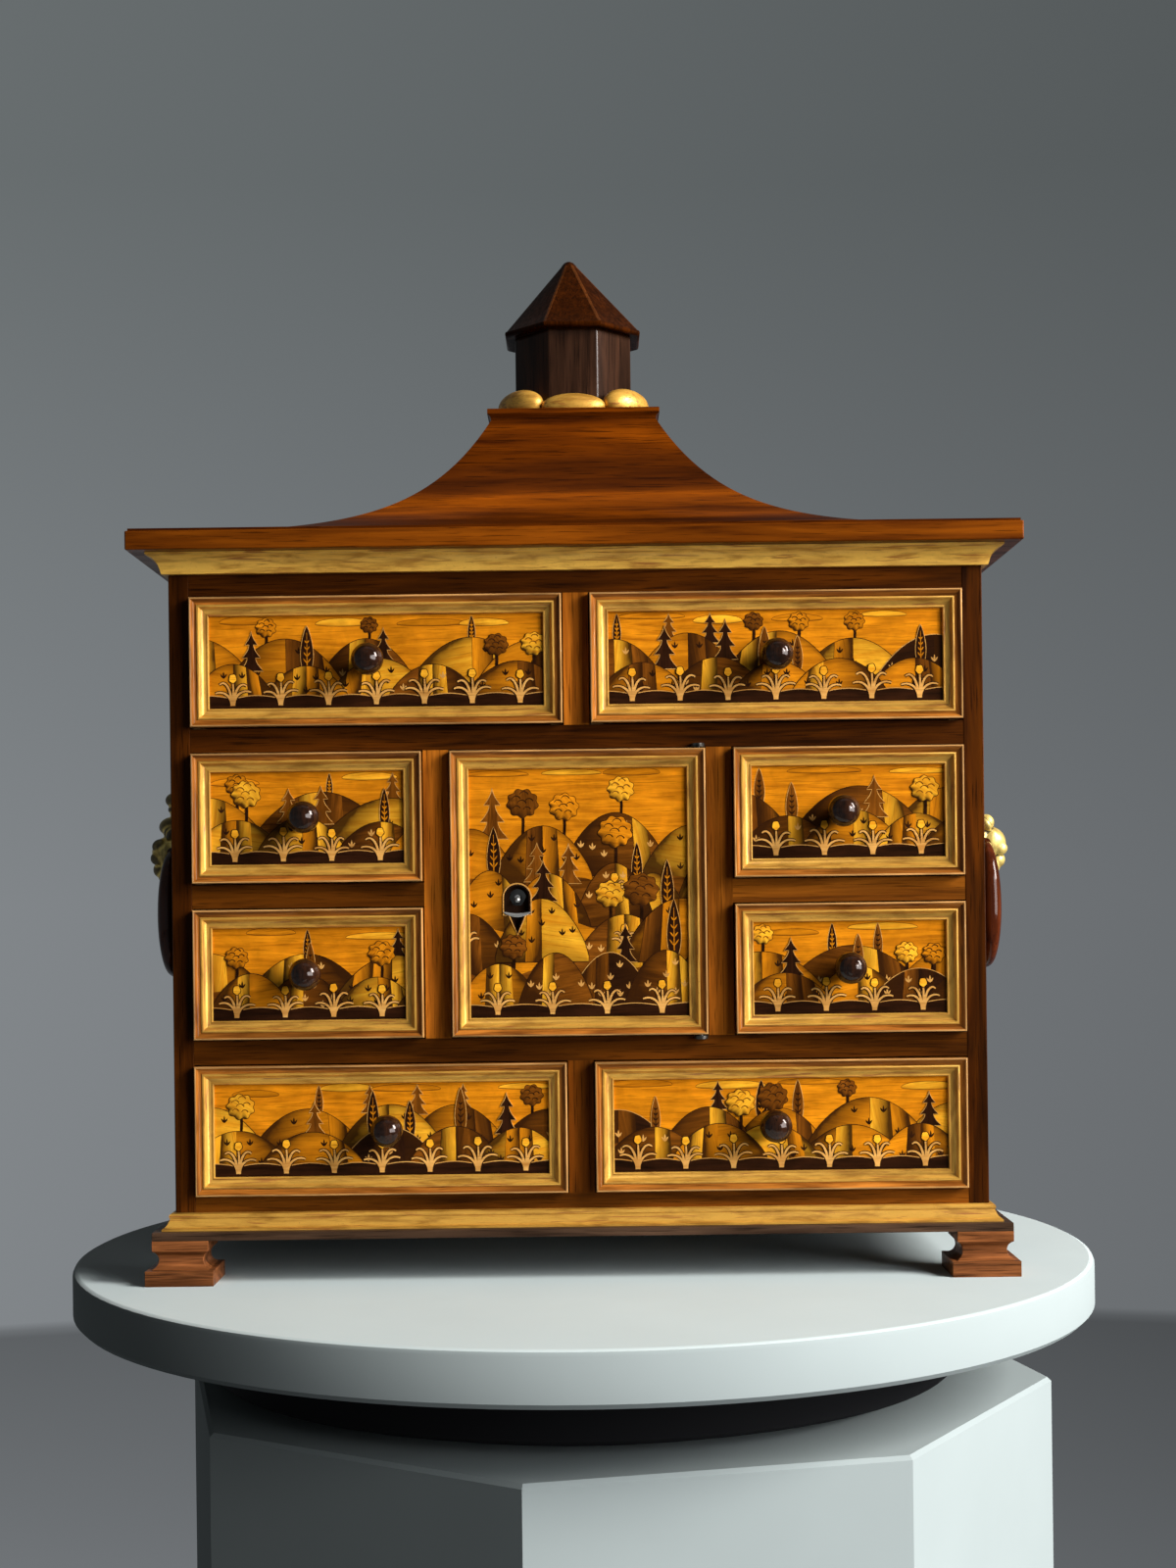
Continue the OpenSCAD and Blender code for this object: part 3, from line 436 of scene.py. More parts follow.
# Tone of the roof by the share of its height, in darker and lighter bands
ROOF_TONES = (
    (0.0, 0.42), (0.08, 0.38), (0.15, 0.46), (0.23, 0.72), (0.3, 0.98), (0.36, 0.92), (0.44, 0.42),
    (0.52, 0.26), (0.64, 0.22), (0.73, 0.34), (0.8, 0.5), (0.86, 0.68), (0.93, 0.42), (1.0, 0.4),
)


def timber(kind, axis):
    """One of the cabinet's woods with its grain along an axis."""
    dark, light = getattr(woods(), kind + "_dark"), getattr(woods(), kind + "_light")
    return wood("%s_%s" % (kind, axis), dark, light, axis, *TIMBERS[kind])


def case_wood(axis, share):
    """Wood of the carcass, mixed from the dark side wood at 0 to the pale upright wood at 1. A board's share is
    partly its own wood and partly painted light and shade: darker mixes where it lies in shade, paler where it
    catches light.
    """
    dark = between(woods().rosewood_dark, woods().upright_dark, share)
    light = between(woods().rosewood_light, woods().upright_light, share)
    return wood("case_wood_%d_%s" % (round(100 * share), axis), dark, light, axis, *TIMBERS["rosewood"])


def arris_wood(axis):
    return wood("arris_" + axis, scaled(woods().arris, 0.5), tuple(woods().arris), axis, 0.4, 0.1, 300.0, 60.0)


def hip_wood(axis):
    return wood("hip_" + axis, scaled(woods().hip, 0.5), tuple(woods().hip), axis, 0.3, 0.06, 420.0, 60.0, 0.05)


# Near-black wood of the keyhole tray, partly its own colour and partly painted shade inside the keyhole
def lining_wood():
    dark, light = woods().black_dark, woods().black_light
    return wood("lining_wood", dark, between(dark, light, 0.3), "z", 0.5, 0.0)


@kept
def roof_wood(name, axis):
    """Roof wood made darker and lighter in soft bands by height, from the eaves to the cap."""
    made = timber("roof", axis)
    made.name = name
    tree, skin = made.node_tree, made.node_tree.nodes["Principled BSDF"]
    low, high = (corner.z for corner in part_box("roof_panels"))
    height = add(tree, "SeparateXYZ", {0: add(tree, "TexCoord").outputs["Object"]}).outputs["Z"]
    sway = spread(tree, noise(tree, grain_place(tree, axis, 5.0, 40.0), 4.0), 0.25, 0.75, -0.006, 0.006)
    level = spread(tree, math_of(tree, "ADD", height, sway), low, high, 0.0, 1.0)
    toned = ramp(tree, level, [(at, (tone, tone * (0.86 + 0.14 * tone), tone)) for at, tone in ROOF_TONES])
    grain = skin.inputs["Base Color"].links[0].from_socket
    feed(tree, skin, {"Base Color": mixed(tree, 1.0, grain, toned, "MULTIPLY")})
    return made


VENEER_TONES = ("amber", "honey", "brown", "dark", "pale")


def veneer_set():
    tones = veneers()
    return [veneer("veneer_" + t, getattr(tones, t + "_dark"), getattr(tones, t + "_light")) for t in VENEER_TONES]


# Mesh helpers


@contextlib.contextmanager
def edited(mesh, source=None):
    """Opens a mesh for editing, or starts it from another one, and writes the result back."""
    work = bmesh.new()
    work.from_mesh(source or mesh)
    yield work
    work.to_mesh(mesh)
    work.free()


class Shape:
    """Points and faces of one piece while it is being made, in millimetres."""

    def __init__(self):
        self.points, self.faces, self.kinds = [], [], []

    def take(self, points, faces, kinds=0):
        start = len(self.points)
        self.points += [tuple(p) for p in points]
        self.faces += [tuple(start + i for i in f) for f in faces]
        self.kinds += [kinds] * len(faces) if isinstance(kinds, int) else list(kinds)

    def mesh(self, name):
        made = bpy.data.meshes.new(name)
        made.from_pydata([tuple(c * MM for c in p) for p in self.points], [], self.faces)
        made.polygons.foreach_set("material_index", self.kinds)
        with edited(made) as work:
            bmesh.ops.recalc_face_normals(work, faces=work.faces)
        return made


def linked(name, data):
    """An object in the scene."""
    made = bpy.data.objects.new(name, data)
    bpy.context.scene.collection.objects.link(made)
    return made


def finished(name, form, materials, angle=SMOOTH_ANGLE):
    """A mesh, or a shape that is being made, as an object with its materials and smooth faces."""
    mesh = form.mesh(name) if isinstance(form, Shape) else form
    for one in materials:
        mesh.materials.append(one)
    mesh.polygons.foreach_set("use_smooth", [True] * len(mesh.polygons))
    mesh.set_sharp_from_angle(angle=angle)
    return linked(name, mesh)


def place(name, form, body, slot, materials, replaced=(), angle=SMOOTH_ANGLE):
    """A finished piece in the scene, on its body."""
    made = finished(name, form, materials, angle)
    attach(made, body)
    if replaced:
        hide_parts(*replaced)
    return made


def paint(node, material):
    """A better material on a node that keeps its own shape."""
    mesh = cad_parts[node].data
    mesh.materials.clear()
    mesh.materials.append(material)


def node_box(node):
    """A node's box in millimetres."""
    low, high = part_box(node)
    return low / MM, high / MM


def node_middle(node):
    """The middle of a node's box in millimetres."""
    low, high = node_box(node)
    return (low + high) / 2


def rings(shape, loops, kinds=None, closed=False):
    """Skin over a run of loops with equally many points, capped at both ends unless it closes on itself."""
    n, count = len(loops[0]), len(loops)
    points = [p for loop in loops for p in loop]
    faces, tones = [], []
    for i in range(count if closed else count - 1):
        a, b = i * n, (i + 1) % count * n
        for k in range(n):
            faces.append((a + k, a + (k + 1) % n, b + (k + 1) % n, b + k))
            tones.append(kinds(i, k) if kinds else 0)
    if not closed:
        faces += [tuple(reversed(range(n))), tuple((count - 1) * n + k for k in range(n))]
        tones += [tones[0], tones[-1]]
    shape.take(points, faces, tones)


def circle(count, turn=0.0):
    """Angles of equally spaced points round a circle."""
    return [2 * math.pi * k / count + turn for k in range(count)]


def skinned(loops, kinds=None, closed=False):
    """A new shape with one skin over a run of loops."""
    shape = Shape()
    rings(shape, loops, kinds, closed)
    return shape


def turned(shape, profile, centre, steps=48):
    """A lathe-turned form about the Y axis through centre. Profile points are (radius, distance to the front)."""
    rings(shape, [
        [(centre[0] + radius * math.cos(a), centre[1] - out, centre[2] + radius * math.sin(a)) for a in circle(steps)]
        for radius, out in profile
    ])


def arc(centre, radius, start, end, steps):
    """Points along an arc, angles in degrees."""
    return [
        (centre[0] + radius * math.cos(math.radians(a)), centre[1] + radius * math.sin(math.radians(a)))
        for a in (start + (end - start) * i / steps for i in range(steps + 1))
    ]


def rounded(work, edges, width, segments):
    """Rounds some edges and returns the faces that this makes."""
    return bmesh.ops.bevel(
        work, geom=edges, offset=width, segments=segments, profile=0.5, affect="EDGES", clamp_overlap=True
    )["faces"]


def eased_mesh(node, width):
    """A copy of a node's mesh with its edges rounded."""
    made = bpy.data.meshes.new(node + "_eased")
    with edited(made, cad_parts[node].data) as work:
        bmesh.ops.remove_doubles(work, verts=work.verts, dist=1e-6)
        bmesh.ops.dissolve_limit(work, angle_limit=math.radians(0.5), verts=work.verts, edges=work.edges)
        rounded(work, [e for e in work.edges if len(e.link_faces) == 2 and e.calc_face_angle(0.0) > SHARP], width, 2)
    return made


def eased(node, name, body, slot, materials, width=None):
    return place(name, eased_mesh(node, width or shapes().ease), body, slot, materials, (node,), BOARD_ANGLE)


# Frames, mouldings and boards


def frame_profile(width):
    """Section of a frame as (in from the outer edge, out from the panel), with the kind of each step."""
    points, kinds = [(0.0, 0.0)], []

    def run(more, kind):
        for p in more:
            points.append(p)
            kinds.append(kind)

    run([(0.0, 2.6), (0.0, 5.5)], 0)
    run(arc((0.65, 5.55), 0.65, 180, 50, 6), 1)
    run([(1.4, 5.8), (1.9, 5.25), (2.5, 4.75), (3.2, 4.35), (3.8, 4.1), (4.2, 3.95)], 0)
    run([(4.5, 4.4), (5.1, 4.6), (5.6, 4.45), (5.9, 4.05), (6.4, 3.3), (7.2, 2.55), (8.2, 2.0), (9.3, 1.7)], 2)
    run(arc((10.25, 1.45), 0.6, 150, 20, 4), 2)
    run([(width, 1.2), (width, 0.0)], 2)
    kinds.append(0)
    return points, kinds


FRAME_KINDS, FRAME_LEVEL = 3, 0.8


def framed(name, node, body, panel_y):
    """A mitred frame of walnut bead and gilt slope in place of a node."""
    low, high = node_box(node)
    profile, steps = frame_profile(shapes().frame_w / MM)
    corners = (
        (low.x, low.z, 1, 1), (high.x, low.z, -1, 1), (high.x, high.z, -1, -1), (low.x, high.z, 1, -1),
    )
    loops = [[(x + sx * i, panel_y - o, z + sz * i) for i, o in profile] for x, z, sx, sz in corners]
    shape = skinned(loops, lambda i, k: steps[k] + FRAME_KINDS * (i % 2), closed=True)
    materials = []
    for axis in "xz":
        materials += [timber("bead", axis), arris_wood(axis), gilding("gilt_frame_" + axis, axis, FRAME_LEVEL)]
    return place(name, shape, body, "frame_walnut", materials, (node,))


def cornice_section(low, high):
    """Section of the cornice moulding as (out from the carcass, height), from its foot up."""
    curve = ((3.0, 0.0), (3.35, 0.2), (3.55, 0.7), (3.55, 1.3), (3.75, 1.5), (3.95, 2.7), (4.4, 4.4), (5.1, 6.1),
             (6.0, 7.7), (7.2, 9.2), (8.6, 10.4), (10.2, 11.2), (10.4, 11.5), (11.3, 11.6))
    tall = (high - low) / 13.0
    return [(0.0, low)] + [(o, low + z * tall) for o, z in curve] + [(11.4, high), (0.0, high)]


def plinth_section(low, high):
    """Section of the plinth moulding as (out from the carcass, height), from its top down."""
    curve = ((1.5, 0.0), (2.3, 0.25), (3.0, 0.8), (3.35, 1.5), (3.4, 2.2), (3.2, 2.8), (2.8, 3.1), (2.8, 3.4),
             (3.15, 4.2), (3.6, 5.3), (4.3, 6.6), (5.2, 7.7), (6.3, 8.5), (6.8, 8.7), (7.1, 9.0))
    tall = (high - low) / 10.0
    return [(0.0, high)] + [(o, high - z * tall) for o, z in curve] + [(7.1, low), (0.0, low)]


def moulding(name, node, section, level, metal):
    """A gilt moulding along the front and the two sides of the carcass in place of a node."""
    side_low, _ = node_box("side_left")
    _, side_high = node_box("side_right")
    loops = []
    for x, y, out_x, out_y in (
        (side_low.x, side_high.y, -1, 0), (side_low.x, side_low.y, -1, -1),
        (side_high.x, side_low.y, 1, -1), (side_high.x, side_high.y, 1, 0),
    ):
        loops.append([(x + out_x * o, y + out_y * o, z) for o, z in section])
    shape = skinned(loops, lambda i, k: 1 - i % 2)
    leaf = [gilding("gilt_%s_%s" % (node, axis), axis, level, metal) for axis in "xy"]
    return place(name, shape, "case", "gilt_wood", leaf, (node,))


def square_tower(levels, centre):
    """A form of four-cornered loops, (half width, half depth, height) each, with kind 1 on its two flanks."""
    loops = [
        [(centre[0] + sx * hx, centre[1] + sy * hy, z) for sx, sy in ((-1, -1), (1, -1), (1, 1), (-1, 1))]
        for hx, hy, z in levels
    ]
    return skinned(loops, lambda i, k: k % 2)


# Operators for the carcass and the roof


class CABINET_OT_carcass(bpy.types.Operator):
    """Finishes the sides, shelves, dividers, base board, feet and back of the carcass"""

    bl_idname = "cabinet.carcass"
    bl_label = "Carcass"

    # Grain axis and share of pale upright wood for each board; the shares carry partly the boards' own woods and
    # partly painted light and shade
    BOARDS = {
        "case_top": ("x", 0.0), "upper_shelf": ("x", 0.0), "lower_shelf": ("x", 0.1), "case_bottom": ("x", 0.26),
        "short_shelf_left": ("x", 0.14), "short_shelf_right": ("x", 0.7), "divider_top": ("z", 0.9),
        "divider_bottom": ("z", 0.1), "door_wall_left": ("z", 1.0), "door_wall_right": ("z", 0.6),
    }
    BACK_BOARDS, BACK_JOINT, GAP = 4, 0.9, 0.03

    def back(self):
        """The back panel of upright boards with bevelled joints."""
        low, high = node_box("back_panel")
        wide = (high.x - low.x) / self.BACK_BOARDS
        shape = Shape()
        for i in range(self.BACK_BOARDS):
            left, right, bevel = low.x + wide * i + self.GAP, low.x + wide * (i + 1) - self.GAP, self.BACK_JOINT
            section = [(left, low.y), (right, low.y), (right, high.y - bevel), (right - bevel, high.y),
                       (left + bevel, high.y), (left, high.y - bevel)]
            rings(shape, [[(x, y, z) for x, y in section] for z in (low.z, high.z)])
        place("Carcass.back", shape, "case", "plain_wood", [timber("pine", "z")], ("back_panel",))

    def execute(self, context):
        for node, (axis, share) in self.BOARDS.items():
            paint(node, case_wood(axis, share))
        for side in ("side_left", "side_right"):
            eased(side, "Carcass." + side, "case", "rosewood", [timber("rosewood", "z")])
        eased("base_board", "Base.board", "case", "black_wood", [timber("base", "x")])
        for feet in ("front_feet", "back_feet"):
            eased(feet, "Base." + feet, "case", "black_wood", [timber("foot", "x")])
        eased("bottom_blocks", "Base.blocks", "case", "plain_wood", [timber("pine", "x")])
        eased("door_stop", "Carcass.door_stop", "case", "plain_wood", [timber("pine", "x")])
        self.back()
        return {"FINISHED"}


class CABINET_OT_mouldings(bpy.types.Operator):
    """Makes the gilt mouldings of the plinth and the cornice"""

    bl_idname = "cabinet.mouldings"
    bl_label = "Gilt mouldings"

    def execute(self, context):
        # The cornice's leaf is painted brighter (level 1.2) as painted light on its downward-facing cove, and the
        # plinth's leaf darker (level 0.8) as painted shade on its upward-facing cove
        for name, node, section, level, metal in (
            ("Cornice.gilt_cove", "cornice_moulding", cornice_section, 1.2, 0.0),
            ("Plinth.gilt_cove", "plinth_moulding", plinth_section, 0.8, 0.42),
        ):
            low, high = node_box(node)
            moulding(name, node, section(low.z, high.z), level, metal)
        return {"FINISHED"}


class CABINET_OT_roof(bpy.types.Operator):
    """Makes the top board, the pagoda roof and its cap plate"""

    bl_idname = "cabinet.roof"
    bl_label = "Roof"

    STEPS = 48
    EDGE = 1.5

    def execute(self, context):
        eased("cornice_board", "Cornice.board", "case", "walnut", [timber("walnut", "x")], 0.7 * MM)
        low, high = node_box("roof_panels")
        cap_low, cap_high = node_box("roof_cap")
        neck = (cap_high.x - cap_low.x) / 2 - 2.5
        half_x, half_y = (high.x - low.x) / 2, (high.y - low.y) / 2
        centre = node_middle("roof_panels")
        levels = [(half_x, half_y, low.z)]
        for i in range(self.STEPS + 1):
            u = i / self.STEPS
            z = low.z + self.EDGE + (high.z - low.z - self.EDGE) * (0.44 * u**2 + 0.56 * u**6)
            levels.append((half_x + (neck - half_x) * u, half_y + (neck - half_y) * u, z))
        woods_used = [roof_wood("toned_roof_" + axis, axis) for axis in "xy"]
        place("Roof.slopes", square_tower(levels, centre), "case", "walnut", woods_used, ("roof_panels",))
        half = (cap_high.x - cap_low.x) / 2
        steps = [(half - 2.2, 0.0), (half - 2.0, 1.2), (half - 1.2, 2.4), (half - 0.6, 2.9), (half - 0.5, 3.2),
                 (half, 3.3), (half, 6.1), (half - 0.4, 6.5)]
        cap = square_tower([(h, h, cap_low.z + z) for h, z in steps], centre)
        place("Roof.cap_plate", cap, "case", "walnut", woods_used, ("roof_cap",))
        return {"FINISHED"}


class CABINET_OT_turret(bpy.types.Operator):
    """Makes the eight-sided turret, its pointed roof and the gilt eggs round its foot"""

    bl_idname = "cabinet.turret"
    bl_label = "Turret"

    SIDES = 8
    FACE_EGG = (7.8, 40.0, 3.0)
    CORNER_EGG = (10.0, 36.0, 5.5)
    LEAN, BLUNT, EGG_LEVEL = 2.0, 2.4, 0.93

    def spire(self):
        low, high = node_box("turret_roof")
        centre = node_middle("turret_roof")
        half = (high.x - low.x) / 2
        lip = 2.0
        corner = 1 / math.cos(math.pi / self.SIDES)
        profile = [(0.0, 0.0), (half - 7.0, 0.0), (half - 6.6, 0.8)]
        profile += [(half - lip + r, lip + z) for r, z in arc((0, 0), lip, -90, 62, 12)]
        shoulder = profile[-1]
        point = high.z - low.z
        slope = shoulder[0] / (point + self.BLUNT - shoulder[1])
        for down in (36.0, 19.0, 4.0, 1.1):
            profile.append(((down + self.BLUNT) * slope, point - down))
        profile += [(1.5, point - 0.35), (0.5, point - 0.02)]
        loops = []
        for radius, z in profile:
            loops.append([
                (centre[0] - self.LEAN * z / point + max(radius, 0.02) * corner * math.cos(a),
                 centre[1] + max(radius, 0.02) * corner * math.sin(a), low.z + z)
                for a in circle(self.SIDES, math.pi / self.SIDES)
            ])
        mesh = skinned(loops).mesh("Turret.roof")
        with edited(mesh) as work:
            hips = [e for e in work.edges if e.calc_face_angle(0.0) > math.radians(14)
                    and abs(e.verts[0].co.z - e.verts[1].co.z) > 1e-5 and e.calc_length() > 6 * MM]
            for face in rounded(work, hips, 1.1 * MM, 3):
                face.material_index = 1
        place("Turret.roof", mesh, "case", "walnut", [timber("spire", "z"), hip_wood("z")], ("turret_roof",))

    def eggs(self):
        low, high = node_box("turret_body")
        centre = node_middle("turret_body")
        half = (high.x - low.x) / 2
        shape = Shape()
        for i in range(self.SIDES):
            radius, long, lift = self.CORNER_EGG if i % 2 else self.FACE_EGG
            turn = Matrix.Rotation(math.radians(45 * i), 3, "Z")
            loops = []
            for k in range(33):
                a = math.pi * k / 32
                r = max(radius * math.sin(a), 0.02)
                loop = []
                for s in range(40):
                    b = 2 * math.pi * s / 40
                    p = turn @ Vector((-long / 2 * math.cos(a), -half - radius - 0.1 + r * math.cos(b), 0))
                    loop.append((centre[0] + p.x, centre[1] + p.y, low.z + max(lift + r * math.sin(b), 0.0)))
                loops.append(loop)
            rings(shape, loops)
        leaf = gilding("gilt_egg_x", "x", self.EGG_LEVEL)
        place("Turret.eggs", shape, "case", "gilt_wood", [leaf], ("turret_eggs",))

    def execute(self, context):
        eased("turret_body", "Turret.walls", "case", "black_wood", [timber("black", "z")], 0.9 * MM)
        self.spire()
        self.eggs()
        return {"FINISHED"}


# Inlaid fronts


TUCK = 0.4
HILL_SPACING = 50.0


class Inlay:
    """Thin plates of veneer laid over one front, in millimetres from its lower left corner."""

    FIRST, LAST, BACK = 0.1, 0.85, 0.1

    def __init__(self, left, low, width, height, face):
        self.left, self.low, self.width, self.height, self.face = left, low, width, height, face
        self.holes, self.plates = (), []

    @staticmethod
    def clip(face, a, b, keep_left):
        """The part of a face on one side of the line from a to b. Points are (x, z, shade)."""

        def side(p):
            turn = (b[0] - a[0]) * (p[1] - a[1]) - (b[1] - a[1]) * (p[0] - a[0])
            return turn if keep_left else -turn

        kept = []
        for i, p in enumerate(face):
            q = face[(i + 1) % len(face)]
            here, there = side(p), side(q)
            if here >= 0:
                kept.append(p)
            if here * there < 0:
                t = here / (here - there)
                kept.append(tuple(u + (v - u) * t for u, v in zip(p, q)))
        return kept if len(kept) > 2 else []

    def outside(self, face, hole):
        """The parts of a face outside a hole, whose outline is convex and runs anticlockwise."""
        for axis in (0, 1):
            if (max(p[axis] for p in face) <= min(p[axis] for p in hole)
                    or min(p[axis] for p in face) >= max(p[axis] for p in hole)):
                return [face]
        parts = []
        for i, a in enumerate(hole):
            b = hole[(i + 1) % len(hole)]
            parts.append(self.clip(face, a, b, False))
            face = self.clip(face, a, b, True)
            if not face:
                break
        return [p for p in parts if p]

    def trimmed(self, face):
        """The parts of a face that lie on the front and outside its holes."""
        w, h = self.width, self.height
        rim = ((0.0, 0.0), (w, 0.0), (w, h), (0.0, h))
        for i, a in enumerate(rim):
            face = self.clip(face, a, rim[(i + 1) % 4], True)
        parts = [face] if face else []
        for hole in self.holes:
            parts = [p for part in parts for p in self.outside(part, hole)]
        return parts

    def lay(self, faces, tone, lift=0.5, grain=0.0):
        """One veneer from flat faces, above all the veneers that were laid before it."""
        loops, ids = [], {}
        for face in faces:
            for part in self.trimmed(face):
                loop = []
                for x, z, shade in part:
                    spot = ids.setdefault((round(x, 3), round(z, 3)), (len(ids), shade))[0]
                    if spot not in loop:
                        loop.append(spot)
                if len(loop) > 2 and abs(self.area(part)) > 1e-3:
                    loops.append(loop)
        if loops:
            self.plates.append(([(x, z, shade) for (x, z), (_, shade) in ids.items()], loops, tone, lift, grain))

    @staticmethod
    def area(outline):
        """Twice the area of an outline, positive if it runs anticlockwise."""
        return sum(
            p[0] * q[1] - q[0] * p[1] for p, q in zip(outline, list(outline[1:]) + [outline[0]])
        )

    @staticmethod
    def inward(outline):
        """For each point of an outline, the direction to its inside."""
        n = len(outline)
        turn = 1.0 if Inlay.area(outline) > 0 else -1.0
        made = []
        for i in range(n):
            way = Vector(outline[(i + 1) % n]) - Vector(outline[i - 1])
            way = way.normalized() if way.length > 1e-9 else Vector((1.0, 0.0))
            made.append((-way.y * turn, way.x * turn))
        return made

    @staticmethod
    def grown(outline, width):
        """An outline moved outwards."""
        return [(p[0] - w[0] * width, p[1] - w[1] * width) for p, w in zip(outline, Inlay.inward(outline))]

    def solid(self, outline, tone, lift=0.5, grain=0.0, heart=None, rim=0.3, scorch=0.6, toward=(0.0, 1.0)):
        """A veneer of one outline. With a heart, its rim is shaded in hot sand on the side of a direction."""
        if heart is None:
            self.lay([[(x, z, 0.0) for x, z in outline]], tone, lift, grain)
            return
        n = len(outline)
        ways = self.inward(outline)
        steps = []
        for depth, share in ((0.0, 1.0), (0.35, 0.45), (1.0, 0.0)):
            steps.append([
                (p[0] + (heart[0] - p[0]) * rim * depth, p[1] + (heart[1] - p[1]) * rim * depth,
                 scorch * share * max(0.0, -(w[0] * toward[0] + w[1] * toward[1])))
                for p, w in zip(outline, ways)
            ])
        faces = [
            [outer[i], outer[(i + 1) % n], inner[(i + 1) % n], inner[i]]
            for outer, inner in zip(steps, steps[1:]) for i in range(n)
        ]
        self.lay(faces + [steps[-1]], tone, lift, grain)

    def edged(self, outline, tone, edge, width, lift=0.5, grain=0.0, **shading):
        """A veneer with a narrow line of another veneer all round it."""
        self.solid(self.grown(outline, width), edge)
        self.solid(outline, tone, lift, grain, **shading)

    def line(self, path, width, tone, lift=0.5, taper=0.0):
        """A narrow string of veneer along a path."""
        left, right = [], []
        for i, p in enumerate(path):
            way = (Vector(path[min(i + 1, len(path) - 1)]) - Vector(path[max(i - 1, 0)])).normalized()
            half = width / 2 * (1 - taper * i / (len(path) - 1))
            left.append((p[0] - way.y * half, p[1] + way.x * half, 0.0))
            right.append((p[0] + way.y * half, p[1] - way.x * half, 0.0))
        self.lay(
            [[right[i], right[i + 1], left[i + 1], left[i]] for i in range(len(path) - 1)], tone, lift
        )

    def piece(self, name, body):
        """All the plates as one mesh, each closed and a little prouder than the last."""
        points, faces, kinds, marks = [], [], [], []
        for order, (spots, loops, tone, lift, grain) in enumerate(self.plates):
            front = self.face - self.FIRST - (self.LAST - self.FIRST) * order / len(self.plates)
            start, count = len(points), len(spots)
            for y in (front, self.face + self.BACK):
                points += [(self.left + x, y, self.low + z) for x, z, _ in spots]
                marks += [(lift, grain, shade, 1.0) for _, _, shade in spots]
            edges = {(a, b) for loop in loops for a, b in zip(loop, loop[1:] + loop[:1])}
            made = [tuple(start + i for i in loop) for loop in loops]
            made += [tuple(start + count + i for i in reversed(loop)) for loop in loops]
            made += [
                (start + b, start + a, start + count + a, start + count + b)
                for a, b in sorted(edges) if (b, a) not in edges
            ]
            faces += made
            kinds += [VENEER_TONES.index(tone)] * len(made)
        mesh = bpy.data.meshes.new(name)
        mesh.from_pydata([tuple(c * MM for c in p) for p in points], [], faces)
        mesh.polygons.foreach_set("material_index", kinds)
        mesh.attributes.new("veneer", "FLOAT_COLOR", "POINT").data.foreach_set(
            "color", [c for mark in marks for c in mark]
        )
        return place(name, mesh, body, "marquetry", veneer_set())


def cypress(x, z, height, width):
    """Outline of a slender pointed tree standing at x, z."""
    half = []
    for i in range(17):
        t = i / 16
        half.append((width / 2 * math.sin(math.pi * (0.14 + 0.86 * t)) ** 0.75 * (1 - 0.35 * t), z + height * t))
    return [(x + w, h) for w, h in half] + [(x - w, h) for w, h in reversed(half[:-1])]


def fir(x, z, height, width, tiers=3):
    """Outline of a fir with hanging tiers, standing at x, z."""
    half = []
    for tier in range(tiers):
        low, high = tier / tiers, (tier + 1) / tiers
        wide, narrow = width / 2 * (1 - 0.72 * low), width / 2 * (1 - high) * 0.5
        for i in range(7):
            t = i / 6
            half.append((narrow + (wide - narrow) * (1 - t) ** 1.8, z + height * (low + (high - low) * t)))
    half[-1] = (0.0, z + height)
    return [(x + w, h) for w, h in half] + [(x - w, h) for w, h in reversed(half[:-1])]


def crown(x, z, radius, flat, lobes, turn, wave=0.06, count=48):
    """Outline of a round leafy crown."""
    made = []
    for i in range(count):
        a = 2 * math.pi * i / count
        r = radius * (1 + wave * math.cos(lobes * a + turn))
        made.append((x + r * math.cos(a), z + r * flat * math.sin(a)))
    return made


def leaf(x, z, long, wide, angle):
    """Outline of a pointed leaf that starts at x, z."""
    made = []
    for i in range(9):
        t = i / 8
        made.append((long * t, -wide / 2 * math.sin(math.pi * t)))
    made += [(px, -pz) for px, pz in reversed(made[1:-1])]
    c, s = math.cos(angle), math.sin(angle)
    return [(x + px * c - pz * s, z + px * s + pz * c) for px, pz in made]


def tuft(inlay, x, z, tone, tall):
    """Three small leaves in a fan."""
    for lean, share in ((0.6, 0.8), (0.0, 1.0), (-0.6, 0.8)):
        inlay.solid(leaf(x, z, tall * share, tall * 0.24, math.pi / 2 + lean), tone)


def plant(inlay, x, z, tall, rng):
    """A flowering plant with two pairs of bowed leaves."""
    def bowed(side, reach, rise):
        return [
            (x + side * (0.6 + reach * (1 - math.cos(t)) / 1.3), z + rise * math.sin(t))
            for t in (math.radians(112) * i / 12 for i in range(13))
        ]

    leaves = []
    for side in (-1, 1):
        leaves.append(bowed(side, tall * rng.uniform(0.56, 0.64), tall * rng.uniform(0.5, 0.58)))
        leaves.append(bowed(side, tall * rng.uniform(0.4, 0.48), tall * rng.uniform(0.8, 0.9)))
    stem = [(x + 0.4 * math.sin(3 * t), z + tall * t) for t in (i / 8 for i in range(9))]
    for path in leaves + [stem]:
        inlay.line(path, 2.7, "dark", 0.45, 0.35)
    for path in leaves + [stem]:
        inlay.line(path, 1.6, "pale", 0.6, 0.45)
    inlay.edged(crown(x + 0.1, z + tall + 0.8, 2.1, 1.2, 5, 1.2), "honey", "dark", 0.45, 0.75)


